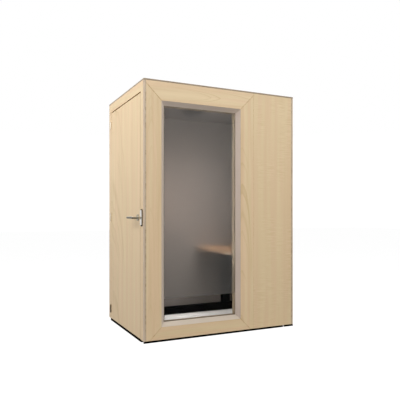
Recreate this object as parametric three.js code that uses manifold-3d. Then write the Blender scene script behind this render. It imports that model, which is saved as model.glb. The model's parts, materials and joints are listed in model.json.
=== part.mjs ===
// Acoustic office pod: a booth for one person with a solid side door, a tall bevelled window and a
// fixed desk. Millimetres, +Z up. The origin is the middle of the base plate's underside. +X runs
// from the door side to the right, and +Y from the glazed front to the back.

import * as THREE from 'three';
import { mergeVertices } from 'three/addons/utils/BufferGeometryUtils.js';
import Module from 'manifold-3d';

// Shell
const WIDTH = 1510;
const DEPTH = 1080;
const HEIGHT = 2200;
const WALL = 100;
const BOARD = 15;
const ROOF_THICKNESS = 100;
const ROOF_BOARD = 18;
const POST_WIDTH = 21;
const POST_CHAMFER = 2;
const TRIM_HEIGHT = 13;
const FIT = 0.3;

// Base: the recesses are where the levelling feet are reached, the rear one open to the back as well
const PLINTH_HEIGHT = 16;
const RECESS_LENGTH = 54;
const RECESS_DEPTH = 46;
const RECESS_INSET = 5;
const FRONT_RECESS_LENGTH = 18;
const FRONT_RECESS_INSET = 100;
const MAT_THICKNESS = 6;
const SKIRTING_HEIGHT = 70;
const SKIRTING_THICKNESS = 12;
const TRUNK_DEPTH = 92;

// Window in the front, measured from the left side, the floor and the top
const WINDOW_LEFT = 157;
const WINDOW_WIDTH = 770;
const WINDOW_SILL = 121;
const WINDOW_HEAD_MARGIN = 171;
const STILE_WIDTH = 139;
const BEVEL_WIDTH = 40;
const BEVEL_DEPTH = 37;
const BEVEL_LIP = 3;
const GLASS_THICKNESS = 10;
const GLASS_EDGE_GAP = 5;
const FILM_THICKNESS = 0.4;
const FILM_SILL = 229;
const FILM_HEAD_MARGIN = 136;

// Door frame and door leaf in the left side
const FRONT_JAMB = 64;
const REAR_JAMB = 57;
const HEADER_HEIGHT = 82;
const HEAD_GAP = 10;
const LATCH_GAP = 4;
const HINGE_GAP = 3;
const SILL_GAP = 4;
const DOOR_THICKNESS = 60;
const DOOR_SKIN = 6;
const STOP_LAP = 10;
const SEAL_SPACE = 3;
const SEAL_WIDTH = 8;
const DROP_SEAL_WIDTH = 16;
const DROP_SEAL_END = 5;
const DROP_SEAL_GAP = 0.6;

// Hinges
const HINGE_HEIGHT = 72;
const HINGE_FROM_BOTTOM = 97;
const HINGE_FROM_TOP = 124;
const KNUCKLE_RADIUS = 5.5;
const PIN_RADIUS = 2.5;
const PIN_CAP = 3;
const HINGE_LEAF = 0.9;
const HINGE_LEAF_WIDTH = 40;

// Lever set and latch
const LEVER_HEIGHT = 1043;
const BACKSET = 60;
const LEVER_LENGTH = 138;
const LEVER_HUB_RADIUS = 11;
const LEVER_TIP_RADIUS = 9;
const LEVER_THICKNESS = 13;
const LEVER_ROUND = 2.5;
const LEVER_STANDOFF = 60;
const NECK_RADIUS = 9;
const ROSE_RADIUS = 27;
const ROSE_THICKNESS = 8;
const ROSE_ROUND = 2;
const SPINDLE = 8;
const SPINDLE_SOCKET = 18;
const SPINDLE_BORE = 14;
const LOCK_THICKNESS = 16;
const LOCK_DEPTH = 82;
const LOCK_HEIGHT = 165;
const FACEPLATE_WIDTH = 22;
const FACEPLATE_HEIGHT = 235;
const FACEPLATE_THICKNESS = 3;
const BOLT_WIDTH = 12;
const BOLT_HEIGHT = 22;
const BOLT_THROW = 10;
const BOLT_TAIL = 30;
const BOLT_TIP = 3;
const BOLT_SWING_ROOM = 2.5;
const KEEP_WIDTH = 42;
const KEEP_HEIGHT = 142;
const KEEP_THICKNESS = 10;
const KEEP_RADIUS = 13;
const KEEP_BEVEL = 1.5;
const KEEP_EDGE = 0.5;

// Ventilation, placed from the middle of the pod
const FAN_X = -40;
const FAN_Y = 45;
const DUCT_RADIUS = 96;
const DUCT_WALL = 4;
const DUCT_LENGTH = 62;
const BLADE_COUNT = 7;
const BLADE_CHORD = 52;
const BLADE_THICKNESS = 2.4;
const BLADE_TIP_GAP = 6;
const BLADE_ROOT_ANGLE = 48;
const BLADE_TIP_ANGLE = 24;
const ROTOR_HUB_RADIUS = 36;
const ROTOR_HUB_HEIGHT = 24;
const MOTOR_RADIUS = 33;
const MOTOR_HEIGHT = 22;
const MOTOR_SHAFT_RADIUS = 4;
const MOTOR_SHAFT_LENGTH = 18;
const MOTOR_RISE = 3;
const ARM_COUNT = 3;
const ARM_WIDTH = 8;
const ARM_HEIGHT = 6;
const DIFFUSER_RADIUS = 120;
const DIFFUSER_DROP = 20;
const DIFFUSER_SHEET = 3;
const DIFFUSER_SPOKE = 5;
const VENT_RADIUS = 115;
const VENT_HEIGHT = 8;
const VENT_RIM = 18;
const VENT_BAR = 7;
const VENT_RINGS = 3;
const VENT_SPOKES = 6;

// Desk, its bracket and its column
const DESK_HEIGHT = 718;
const DESK_THICKNESS = 25;
const DESK_REACH = 551;
const DESK_REAR_REACH = 470;
const DESK_FRONT_GAP = 20;
const DESK_CORNER = 160;
const BRACKET_REACH = 330;
const BRACKET_DROP = 240;
const BRACKET_TOE = 30;
const BRACKET_THICKNESS = 6;
const BRACKET_OFFSET = 280;
const COLUMN_WIDTH = 94;
const COLUMN_DEPTH = 45;
const COLUMN_INSET = 71;
const COLUMN_ROUND = 4;

// Faces and levels that several pieces share
const left = -WIDTH / 2;
const right = WIDTH / 2;
const front = -DEPTH / 2;
const back = DEPTH / 2;
const innerLeft = left + WALL;
const innerRight = right - WALL;
const innerFront = front + WALL;
const innerBack = back - WALL;
const boardBottom = PLINTH_HEIGHT + FIT;
const boardTop = HEIGHT - TRIM_HEIGHT - FIT;
const roofBottom = boardTop - ROOF_BOARD;
const liningTop = roofBottom - FIT;
const ceiling = HEIGHT - ROOF_THICKNESS;
const floorTop = boardBottom + MAT_THICKNESS;

const windowLeft = left + WINDOW_LEFT;
const windowRight = windowLeft + WINDOW_WIDTH;
const windowHead = HEIGHT - WINDOW_HEAD_MARGIN;
const surroundRight = windowRight + STILE_WIDTH;
const glassFront = front + BEVEL_DEPTH + BEVEL_LIP + FIT;
const glassBack = glassFront + GLASS_THICKNESS;

const doorFront = front + BOARD + FRONT_JAMB + LATCH_GAP;
const doorRear = back - BOARD - REAR_JAMB - HINGE_GAP;
const doorBottom = PLINTH_HEIGHT + SILL_GAP;
const headerBottom = HEIGHT - TRIM_HEIGHT - HEADER_HEIGHT;
const doorTop = headerBottom - HEAD_GAP;
const doorInner = left + DOOR_THICKNESS;
const doorMiddle = left + DOOR_THICKNESS / 2;
const stopFace = doorInner + SEAL_SPACE;
const hingeX = left - KNUCKLE_RADIUS - FIT;
const hingeY = doorRear + HINGE_GAP / 2;
const spindleY = doorFront + BACKSET;
const notchDepth = BOLT_THROW - LATCH_GAP + BOLT_SWING_ROOM;

const wasm = await Module();
wasm.setup();

// Solids for joining and cutting

function toSolid(geometry) {
  const bare = geometry.clone();
  bare.deleteAttribute('normal');
  bare.deleteAttribute('uv');
  const merged = mergeVertices(bare, 1e-4);
  const vertProperties = Float32Array.from(merged.attributes.position.array);
  const triVerts = Uint32Array.from(merged.index.array);
  return new wasm.Manifold(new wasm.Mesh({ numProp: 3, vertProperties, triVerts }));
}

function toGeometry(solid) {
  const mesh = solid.getMesh();
  const geometry = new THREE.BufferGeometry();
  geometry.setAttribute('position', new THREE.BufferAttribute(mesh.vertProperties, 3));
  geometry.setIndex(new THREE.BufferAttribute(mesh.triVerts, 1));
  geometry.computeVertexNormals();
  return geometry;
}

function join(...geometries) {
  return toGeometry(geometries.map(toSolid).reduce((whole, piece) => whole.add(piece)));
}

function cut(geometry, ...tools) {
  return toGeometry(tools.map(toSolid).reduce((rest, tool) => rest.subtract(tool), toSolid(geometry)));
}

// Basic forms

function box(x0, x1, y0, y1, z0, z1) {
  const geometry = new THREE.BoxGeometry(x1 - x0, y1 - y0, z1 - z0);
  return geometry.translate((x0 + x1) / 2, (y0 + y1) / 2, (z0 + z1) / 2);
}

function outline(points) {
  return new THREE.Shape(points.map(([a, b]) => new THREE.Vector2(a, b)));
}

function rectangle(a0, a1, b0, b1) {
  return outline([[a0, b0], [a1, b0], [a1, b1], [a0, b1]]);
}

function roundedRectangle(a0, a1, b0, b1, radius) {
  const shape = new THREE.Shape();
  shape.absarc(a1 - radius, b0 + radius, radius, -Math.PI / 2, 0);
  shape.absarc(a1 - radius, b1 - radius, radius, 0, Math.PI / 2);
  shape.absarc(a0 + radius, b1 - radius, radius, Math.PI / 2, Math.PI);
  shape.absarc(a0 + radius, b0 + radius, radius, Math.PI, 1.5 * Math.PI);
  shape.closePath();
  return shape;
}

function disc(a, b, radius) {
  const shape = new THREE.Shape();
  shape.absarc(a, b, radius, 0, 2 * Math.PI);
  return shape;
}

function extrude(shape, length, round = 0, segments = 12) {
  const geometry = new THREE.ExtrudeGeometry(shape, {
    depth: length - 2 * round,
    bevelEnabled: round > 0,
    bevelThickness: round,
    bevelSize: round,
    bevelOffset: -round,
    bevelSegments: 2,
    curveSegments: segments,
  });
  return geometry.translate(0, 0, round);
}

// Prisms along one axis: an outline along X is drawn in (y, z), along Y in (x, z), along Z in (x, y)
const ALONG_X = new THREE.Matrix4().makeBasis(
  new THREE.Vector3(0, 1, 0), new THREE.Vector3(0, 0, 1), new THREE.Vector3(1, 0, 0));
const ALONG_Y = new THREE.Matrix4().makeBasis(
  new THREE.Vector3(1, 0, 0), new THREE.Vector3(0, 0, 1), new THREE.Vector3(0, -1, 0));

function prismX(shape, x0, x1, round, segments) {
  return extrude(shape, x1 - x0, round, segments).applyMatrix4(ALONG_X).translate(x0, 0, 0);
}

function prismY(shape, y0, y1, round, segments) {
  return extrude(shape, y1 - y0, round, segments).applyMatrix4(ALONG_Y).translate(0, y1, 0);
}

function prismZ(shape, z0, z1, round, segments) {
  return extrude(shape, z1 - z0, round, segments).translate(0, 0, z0);
}

// A revolved form about a vertical axis. The profile climbs its outer side first.
function revolve(profile, x, y, z, segments = 32) {
  const points = profile.map(([radius, height]) => new THREE.Vector2(radius, height));
  return new THREE.LatheGeometry(points, segments).rotateX(Math.PI / 2).translate(x, y, z);
}

// Finishes

function finish(color, roughness, metalness = 0) {
  return () => new THREE.MeshStandardMaterial({ color, roughness, metalness });
}

const veneer = finish(0xdcc49c, 0.5);
const blackBoard = finish(0x14120f, 0.6);
const paleFloor = finish(0xd8d6d2, 0.7);
const champagne = finish(0xb9ab9b, 0.35, 0.8);
const felt = finish(0x8f857c, 0.95);
const revealWood = finish(0xbfa988, 0.55);
const blackPlastic = finish(0x181818, 0.5);
const rubber = finish(0x1d1d1d, 0.85);
const satinSteel = finish(0xb8b5ae, 0.3, 1);
const deskWood = finish(0xb48a63, 0.5);
const frostedFilm = finish(0xc9c7c4, 0.6);

function tintedGlass() {
  const material = new THREE.MeshStandardMaterial({ color: 0x6f6a66, roughness: 0.05 });
  material.transparent = true;
  material.opacity = 0.45;
  return material;
}

const pod = new THREE.Group();

function add(name, geometry, makeMaterial) {
  const mesh = new THREE.Mesh(geometry, makeMaterial());
  mesh.name = name;
  pod.add(mesh);
}

// Base plate, floor, posts and top trim

function basePlate() {
  const recessX = left + RECESS_DEPTH;
  const recessY = front + RECESS_DEPTH;
  const recessFront = front + RECESS_INSET;
  const recessBack = back - RECESS_INSET - RECESS_LENGTH;
  const frontRecess = right - FRONT_RECESS_INSET;
  return prismZ(outline([
    [left, front],
    [frontRecess - FRONT_RECESS_LENGTH, front],
    [frontRecess - FRONT_RECESS_LENGTH, recessY],
    [frontRecess, recessY],
    [frontRecess, front],
    [right, front],
    [right, back],
    [recessX, back],
    [recessX, recessBack],
    [left, recessBack],
    [left, recessFront + RECESS_LENGTH],
    [recessX, recessFront + RECESS_LENGTH],
    [recessX, recessFront],
    [left, recessFront],
  ]), 0, PLINTH_HEIGHT);
}

// A corner bar whose outer edge is chamfered. toX and toY point from the corner into the pod.
function cornerPost(cornerX, cornerY, toX, toY) {
  const points = [
    [cornerX + toX * POST_CHAMFER, cornerY],
    [cornerX + toX * POST_WIDTH, cornerY],
    [cornerX + toX * POST_WIDTH, cornerY + toY * BOARD],
    [cornerX, cornerY + toY * BOARD],
    [cornerX, cornerY + toY * POST_CHAMFER],
  ];
  return prismZ(outline(points), boardBottom, boardTop);
}

function topTrim() {
  const ring = rectangle(left, right, front, back);
  ring.holes.push(rectangle(
    left + POST_WIDTH, right - POST_WIDTH, front + POST_WIDTH, back - POST_WIDTH));
  return prismZ(ring, HEIGHT - TRIM_HEIGHT, HEIGHT);
}

add('base_plate', basePlate(), blackBoard);
add('floor_mat', box(
  innerLeft + FIT, innerRight - FIT, innerFront + FIT, innerBack - FIT, boardBottom, floorTop), paleFloor);
add('post_front_left', cornerPost(left, front, 1, 1), champagne);
add('post_front_right', cornerPost(right, front, -1, 1), champagne);
add('post_rear_left', cornerPost(left, back, 1, -1), champagne);
add('post_rear_right', cornerPost(right, back, -1, -1), champagne);
add('top_trim', topTrim(), champagne);

// Front boards: stiles and rails meet in 45 degree mitres that start at the window's corners

// The mitre from a window corner to the surround's edge. Where it stops short of the surround's own
// corner, that corner belongs to the rail if the stile is the narrower of the two, and else to the stile.
function mitre(inner, outer, isRail) {
  const across = Math.abs(outer[0] - inner[0]);
  const along = Math.abs(outer[1] - inner[1]);
  const run = Math.min(across, along);
  const signX = Math.sign(outer[0] - inner[0]);
  const signZ = Math.sign(outer[1] - inner[1]);
  const points = [inner, [inner[0] + signX * run, inner[1] + signZ * run]];
  const keepsCorner = isRail ? across < along : along < across;
  if (keepsCorner) {
    points.push(outer);
  }
  return points;
}

function frontBoard(points) {
  return prismY(outline(points), front, front + BOARD);
}

function frontStile(edgeX, windowX) {
  const play = FIT * Math.SQRT2;
  const lower = mitre([windowX, WINDOW_SILL + play], [edgeX, boardBottom], false);
  const upper = mitre([windowX, windowHead - play], [edgeX, boardTop], false);
  return frontBoard([...lower.reverse(), ...upper]);
}

function frontRail(windowZ, edgeZ) {
  const start = mitre([windowLeft, windowZ], [left + POST_WIDTH + FIT, edgeZ], true);
  const end = mitre([windowRight, windowZ], [surroundRight, edgeZ], true);
  return frontBoard([...start.reverse(), ...end]);
}

add('front_stile_left', frontStile(left + POST_WIDTH + FIT, windowLeft), veneer);
add('front_stile_right', frontStile(surroundRight, windowRight), veneer);
add('front_rail_top', frontRail(windowHead, boardTop), veneer);
add('front_rail_bottom', frontRail(WINDOW_SILL, boardBottom), veneer);
add('front_side_panel', box(
  surroundRight + FIT, right - POST_WIDTH - FIT, front, front + BOARD, boardBottom, boardTop), veneer);

// Window: four mitred strips slope in to the pane, and a reveal frame clamps it from inside

// A strip runs from its starting corner, with its slope facing the window. Its ends are drawn in by the
// distance from the outer edge, which makes the mitres.
function bevelStrip(startX, startZ, inward, along, length) {
  const section = outline([
    [0, 0],
    [BEVEL_DEPTH + BEVEL_LIP, 0],
    [BEVEL_DEPTH + BEVEL_LIP, BEVEL_WIDTH],
    [BEVEL_DEPTH, BEVEL_WIDTH],
  ]);
  const geometry = extrude(section, length);
  const position = geometry.attributes.position;
  for (let i = 0; i < position.count; i += 1) {
    const drawnIn = position.getY(i) + FIT;
    const atEnd = position.getZ(i) > length / 2;
    position.setZ(i, atEnd ? length - drawnIn : drawnIn);
  }
  const place = new THREE.Matrix4().makeBasis(new THREE.Vector3(0, 1, 0), inward, along);
  return geometry.applyMatrix4(place).translate(startX, front, startZ);
}

const X_AXIS = new THREE.Vector3(1, 0, 0);
const Z_AXIS = new THREE.Vector3(0, 0, 1);
const MINUS_X = new THREE.Vector3(-1, 0, 0);
const MINUS_Z = new THREE.Vector3(0, 0, -1);
const stripLeft = windowLeft + FIT;
const stripRight = windowRight - FIT;
const stripSill = WINDOW_SILL + FIT;
const stripHead = windowHead - FIT;
const stripWidth = stripRight - stripLeft;
const stripHeight = stripHead - stripSill;

add('bevel_bottom', bevelStrip(stripLeft, stripSill, Z_AXIS, X_AXIS, stripWidth), champagne);
add('bevel_right', bevelStrip(stripRight, stripSill, MINUS_X, Z_AXIS, stripHeight), champagne);
add('bevel_top', bevelStrip(stripRight, stripHead, MINUS_Z, MINUS_X, stripWidth), champagne);
add('bevel_left', bevelStrip(stripLeft, stripHead, X_AXIS, MINUS_Z, stripHeight), champagne);

add('window_glass', box(
  windowLeft + GLASS_EDGE_GAP, windowRight - GLASS_EDGE_GAP, glassFront, glassBack,
  WINDOW_SILL + GLASS_EDGE_GAP, windowHead - GLASS_EDGE_GAP), tintedGlass);

// A frosted film on the back of the pane leaves it clear at the foot and at the head
const filmFront = glassBack + FIT;
add('privacy_film', box(
  stripLeft + BEVEL_WIDTH + FIT, stripRight - BEVEL_WIDTH - FIT, filmFront, filmFront + FILM_THICKNESS,
  WINDOW_SILL + FILM_SILL, windowHead - FILM_HEAD_MARGIN), frostedFilm);

function windowReveal() {
  const ring = rectangle(stripLeft, stripRight, stripSill, stripHead);
  ring.holes.push(rectangle(
    stripLeft + BEVEL_WIDTH, stripRight - BEVEL_WIDTH, stripSill + BEVEL_WIDTH, stripHead - BEVEL_WIDTH));
  return prismY(ring, glassBack + FIT, innerFront);
}

function frontLining() {
  const ring = rectangle(innerLeft + FIT, innerRight - FIT, boardBottom, liningTop);
  ring.holes.push(rectangle(windowLeft, windowRight, WINDOW_SILL, windowHead));
  return prismY(ring, front + BOARD + FIT, innerFront);
}

add('window_reveal', windowReveal(), revealWood);
add('front_lining', frontLining(), felt);

// Right wall, back wall, roof, cable trunk and skirting

const ductOuter = DUCT_RADIUS + DUCT_WALL;

function roofPanel() {
  const sheet = rectangle(
    innerLeft + FIT, right - BOARD - FIT, front + BOARD + FIT, back - BOARD - FIT);
  sheet.holes.push(disc(FAN_X, FAN_Y, DUCT_RADIUS));
  return prismZ(sheet, roofBottom, boardTop, 0, 24);
}

function ceilingLining() {
  const sheet = rectangle(innerLeft + FIT, innerRight - FIT, innerFront + FIT, innerBack - FIT);
  sheet.holes.push(disc(FAN_X, FAN_Y, ductOuter + FIT));
  return prismZ(sheet, ceiling, liningTop, 0, 24);
}

add('right_panel', box(
  right - BOARD, right, front + BOARD + FIT, back - BOARD - FIT, boardBottom, boardTop), veneer);
add('right_lining', box(
  innerRight, right - BOARD - FIT, front + BOARD + FIT, back - BOARD - FIT, boardBottom, liningTop), felt);
add('rear_panel', box(
  left + POST_WIDTH + FIT, right - POST_WIDTH - FIT, back - BOARD, back, boardBottom, boardTop), veneer);
add('rear_lining', box(
  innerLeft + FIT, innerRight - FIT, innerBack, back - BOARD - FIT, boardBottom, liningTop), felt);
add('roof_panel', roofPanel(), blackBoard);
add('ceiling_lining', ceilingLining(), felt);

const skirtingTop = floorTop + FIT + SKIRTING_HEIGHT;
const trunkFace = innerBack - FIT - TRUNK_DEPTH;

add('cable_trunk', box(
  innerLeft + FIT, innerRight - FIT, trunkFace, innerBack - FIT, floorTop + FIT, skirtingTop), blackBoard);
add('skirting_right', box(
  innerRight - FIT - SKIRTING_THICKNESS, innerRight - FIT, innerFront + FIT, trunkFace - FIT,
  floorTop + FIT, skirtingTop), blackBoard);

// Door frame: each jamb and the header carry a stop behind the leaf

function jamb(outerY, doorwayY, stopY) {
  const points = [
    [left, outerY],
    [left, doorwayY],
    [stopFace, doorwayY],
    [stopFace, stopY],
    [innerLeft, stopY],
    [innerLeft, outerY],
  ];
  return prismZ(outline(points), boardBottom, headerBottom - FIT);
}

// The notch is open to the outside so that the bolt's nose can swing clear with the leaf
function frontJamb() {
  const edge = doorFront - LATCH_GAP;
  const halfHeight = BOLT_HEIGHT / 2 + BOLT_SWING_ROOM;
  const notch = box(
    left - FIT, doorMiddle + BOLT_WIDTH / 2 + BOLT_SWING_ROOM, edge - notchDepth, edge + FIT,
    LEVER_HEIGHT - halfHeight, LEVER_HEIGHT + halfHeight);
  return cut(jamb(front + BOARD + FIT, edge, doorFront + STOP_LAP), notch);
}

function doorHeader() {
  const beam = box(left, innerLeft, front + BOARD + FIT, back - BOARD - FIT, headerBottom, boardTop);
  const stop = box(
    stopFace, innerLeft, doorFront + STOP_LAP + FIT, doorRear - STOP_LAP - FIT,
    doorTop - STOP_LAP, headerBottom + FIT);
  return join(beam, stop);
}

// A rubber strip round three sides of the doorway, between the leaf and its stops
function doorSeal() {
  const inset = (STOP_LAP - SEAL_WIDTH) / 2;
  const y0 = doorFront + inset;
  const y1 = doorRear - inset;
  const top = doorTop - inset;
  const bottom = boardBottom + FIT;
  return prismX(outline([
    [y0, bottom],
    [y0 + SEAL_WIDTH, bottom],
    [y0 + SEAL_WIDTH, top - SEAL_WIDTH],
    [y1 - SEAL_WIDTH, top - SEAL_WIDTH],
    [y1 - SEAL_WIDTH, bottom],
    [y1, bottom],
    [y1, top],
    [y0, top],
  ]), doorInner + FIT, stopFace - FIT);
}

add('jamb_front', frontJamb(), veneer);
add('jamb_rear', jamb(back - BOARD - FIT, doorRear + HINGE_GAP, doorRear - STOP_LAP), veneer);
add('door_header', doorHeader(), veneer);
add('door_seal', doorSeal(), rubber);

// Door leaf: two skins on a core, with the latch let into its front edge

function spindleHole(x0, x1) {
  return prismX(disc(spindleY, LEVER_HEIGHT, SPINDLE_BORE / 2), x0 - FIT, x1 + FIT);
}

function doorSkin(x0, x1) {
  return cut(box(x0, x1, doorFront, doorRear, doorBottom, doorTop), spindleHole(x0, x1));
}

// The case and its faceplate, grown by some play for the pocket that takes them
function lockBody(play) {
  const halfCase = LOCK_THICKNESS / 2 + play;
  const halfPlate = FACEPLATE_WIDTH / 2 + play;
  const plateTop = FACEPLATE_HEIGHT / 2 + play;
  const caseTop = LOCK_HEIGHT / 2 + play;
  const plate = box(
    doorMiddle - halfPlate, doorMiddle + halfPlate, doorFront - play, doorFront + FACEPLATE_THICKNESS + play,
    LEVER_HEIGHT - plateTop, LEVER_HEIGHT + plateTop);
  const body = box(
    doorMiddle - halfCase, doorMiddle + halfCase, doorFront, doorFront + LOCK_DEPTH + play,
    LEVER_HEIGHT - caseTop, LEVER_HEIGHT + caseTop);
  return join(plate, body);
}

function doorCore() {
  const x0 = left + DOOR_SKIN + FIT;
  const x1 = doorInner - DOOR_SKIN - FIT;
  const leaf = box(x0, x1, doorFront, doorRear, doorBottom, doorTop);
  return cut(leaf, lockBody(FIT), spindleHole(x0, x1));
}

function lockCase() {
  const halfWidth = BOLT_WIDTH / 2 + FIT;
  const halfHeight = BOLT_HEIGHT / 2 + FIT;
  const channel = box(
    doorMiddle - halfWidth, doorMiddle + halfWidth, doorFront - FIT, doorFront + BOLT_TAIL + BOLT_THROW + FIT,
    LEVER_HEIGHT - halfHeight, LEVER_HEIGHT + halfHeight);
  const halfCase = LOCK_THICKNESS / 2;
  return cut(lockBody(0), channel, spindleHole(doorMiddle - halfCase, doorMiddle + halfCase));
}

// The nose is sloped on the side that meets the jamb as the door is pulled shut
function latchBolt() {
  const x0 = doorMiddle - BOLT_WIDTH / 2;
  const x1 = doorMiddle + BOLT_WIDTH / 2;
  const nose = doorFront - BOLT_THROW;
  const shape = outline([
    [x0, nose],
    [x0 + BOLT_TIP, nose],
    [x1, doorFront],
    [x1, doorFront + BOLT_TAIL],
    [x0, doorFront + BOLT_TAIL],
  ]);
  return prismZ(shape, LEVER_HEIGHT - BOLT_HEIGHT / 2, LEVER_HEIGHT + BOLT_HEIGHT / 2);
}

function keepPlate() {
  const y1 = doorFront - LATCH_GAP - notchDepth - KEEP_EDGE;
  const shape = roundedRectangle(
    y1 - KEEP_WIDTH, y1, LEVER_HEIGHT - KEEP_HEIGHT / 2, LEVER_HEIGHT + KEEP_HEIGHT / 2, KEEP_RADIUS);
  return prismX(shape, left - FIT - KEEP_THICKNESS, left - FIT, KEEP_BEVEL, 6);
}

add('door_outer_skin', doorSkin(left, left + DOOR_SKIN), veneer);
add('door_core', doorCore(), veneer);
add('door_inner_skin', doorSkin(doorInner - DOOR_SKIN, doorInner), felt);
add('drop_seal', box(
  doorMiddle - DROP_SEAL_WIDTH / 2, doorMiddle + DROP_SEAL_WIDTH / 2,
  doorFront + DROP_SEAL_END, doorRear - DROP_SEAL_END,
  PLINTH_HEIGHT + DROP_SEAL_GAP, doorBottom - FIT), rubber);
add('lock_case', lockCase(), satinSteel);
add('latch_bolt', latchBolt(), satinSteel);
add('keep_plate', keepPlate(), satinSteel);

// Levers: a tapered bar on a neck that turns in its rose. out is -1 outside the pod and 1 inside.

function lever(face, out) {
  const lean = Math.acos((LEVER_HUB_RADIUS - LEVER_TIP_RADIUS) / LEVER_LENGTH);
  const shape = new THREE.Shape();
  shape.absarc(spindleY, LEVER_HEIGHT, LEVER_HUB_RADIUS, lean, 2 * Math.PI - lean);
  shape.absarc(spindleY + LEVER_LENGTH, LEVER_HEIGHT, LEVER_TIP_RADIUS, -lean, lean);
  shape.closePath();
  const barOuter = face + out * LEVER_STANDOFF;
  const barInner = barOuter - out * LEVER_THICKNESS;
  const bar = prismX(shape, Math.min(barInner, barOuter), Math.max(barInner, barOuter), LEVER_ROUND, 10);
  const neckRoot = face + out * FIT;
  const neckEnd = barInner + out * LEVER_ROUND;
  const neck = prismX(
    disc(spindleY, LEVER_HEIGHT, NECK_RADIUS), Math.min(neckRoot, neckEnd), Math.max(neckRoot, neckEnd));
  const half = SPINDLE / 2 + FIT;
  const socketEnd = face + out * (SPINDLE_SOCKET + FIT);
  const socket = box(
    Math.min(face, socketEnd), Math.max(face, socketEnd), spindleY - half, spindleY + half,
    LEVER_HEIGHT - half, LEVER_HEIGHT + half);
  return cut(join(bar, neck), socket);
}

function rose(face, out) {
  const bore = NECK_RADIUS + FIT;
  const profile = [
    [bore, 0],
    [ROSE_RADIUS, 0],
    [ROSE_RADIUS, ROSE_THICKNESS - ROSE_ROUND],
    [ROSE_RADIUS - ROSE_ROUND, ROSE_THICKNESS],
    [bore, ROSE_THICKNESS],
    [bore, 0],
  ];
  const turned = revolve(profile, 0, 0, 0).rotateY(out * Math.PI / 2);
  return turned.translate(face + out * FIT, spindleY, LEVER_HEIGHT);
}

add('lever_outer', lever(left, -1), satinSteel);
add('lever_inner', lever(doorInner, 1), satinSteel);
add('spindle', box(
  left - SPINDLE_SOCKET, doorInner + SPINDLE_SOCKET, spindleY - SPINDLE / 2, spindleY + SPINDLE / 2,
  LEVER_HEIGHT - SPINDLE / 2, LEVER_HEIGHT + SPINDLE / 2), satinSteel);
add('rose_outer', rose(left, -1), satinSteel);
add('rose_inner', rose(doorInner, 1), satinSteel);

// Hinges: the door leaf has the middle knuckle, the frame leaf the two outer ones, and the pin joins them

function knuckle(z0, z1) {
  const shape = disc(hingeX, hingeY, KNUCKLE_RADIUS);
  shape.holes.push(disc(hingeX, hingeY, PIN_RADIUS + FIT));
  return prismZ(shape, z0, z1, 0, 8);
}

// A leaf plate in the gap between door and jamb, reaching out to its knuckles
function hingeLeaf(z, plateY, knuckleSpans) {
  const y0 = plateY - HINGE_LEAF / 2;
  const y1 = plateY + HINGE_LEAF / 2;
  const reach = hingeX + (PIN_RADIUS + KNUCKLE_RADIUS) / 2;
  const plate = box(
    left + FIT, left + HINGE_LEAF_WIDTH, y0, y1, z - HINGE_HEIGHT / 2, z + HINGE_HEIGHT / 2);
  const parts = [plate];
  for (const [z0, z1] of knuckleSpans) {
    parts.push(knuckle(z + z0, z + z1));
    parts.push(box(reach, left + 2 * FIT, y0, y1, z + z0, z + z1));
  }
  return join(...parts);
}

function hingePin(z) {
  const half = HINGE_HEIGHT / 2 + FIT;
  const profile = [
    [0, -half - PIN_CAP],
    [KNUCKLE_RADIUS, -half - PIN_CAP],
    [KNUCKLE_RADIUS, -half],
    [PIN_RADIUS, -half],
    [PIN_RADIUS, half],
    [KNUCKLE_RADIUS, half],
    [KNUCKLE_RADIUS, half + PIN_CAP],
    [0, half + PIN_CAP],
  ];
  return revolve(profile, hingeX, hingeY, z, 16);
}

const third = HINGE_HEIGHT / 6;
const leafOffset = (HINGE_LEAF + HINGE_GAP / 2) / 2 - FIT / 2;
const lowHinge = doorBottom + HINGE_FROM_BOTTOM;
const highHinge = doorTop - HINGE_FROM_TOP;
const hingeLevels = { low: lowHinge, mid: (lowHinge + highHinge) / 2, high: highHinge };

for (const [level, z] of Object.entries(hingeLevels)) {
  const outerSpans = [[-3 * third, -third - FIT], [third + FIT, 3 * third]];
  add(`hinge_${level}_frame_leaf`, hingeLeaf(z, hingeY + leafOffset, outerSpans), satinSteel);
  add(`hinge_${level}_door_leaf`, hingeLeaf(z, hingeY - leafOffset, [[-third, third]]), satinSteel);
  add(`hinge_${level}_pin`, hingePin(z), satinSteel);
}

// Ventilation: a fan in a short duct draws air through the ceiling diffuser and out of the roof vent

const ductTop = liningTop;
const ductBottom = ductTop - DUCT_LENGTH;
const motorTop = ductBottom + MOTOR_RISE + MOTOR_HEIGHT;

function ring(inner, outer, z0, z1) {
  const profile = [[inner, z0], [outer, z0], [outer, z1], [inner, z1], [inner, z0]];
  return revolve(profile, FAN_X, FAN_Y, 0);
}

// Flat bars from the middle out to a radius
function spokes(count, reach, width, z0, z1) {
  const bars = [];
  for (let i = 0; i < count; i += 1) {
    const bar = box(0, reach, -width / 2, width / 2, z0, z1);
    bars.push(bar.rotateZ((2 * Math.PI * i) / count).translate(FAN_X, FAN_Y, 0));
  }
  return bars;
}

function fanHousing() {
  const duct = ring(DUCT_RADIUS, ductOuter, ductBottom, ductTop);
  const motorBottom = ductBottom + MOTOR_RISE;
  const motor = revolve([
    [0, motorBottom],
    [MOTOR_RADIUS, motorBottom],
    [MOTOR_RADIUS, motorTop],
    [MOTOR_SHAFT_RADIUS, motorTop],
    [MOTOR_SHAFT_RADIUS, motorTop + MOTOR_SHAFT_LENGTH],
    [0, motorTop + MOTOR_SHAFT_LENGTH],
  ], FAN_X, FAN_Y, 0);
  const reach = DUCT_RADIUS + DUCT_WALL / 2;
  return join(duct, motor, ...spokes(ARM_COUNT, reach, ARM_WIDTH, motorBottom, motorBottom + ARM_HEIGHT));
}

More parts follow.
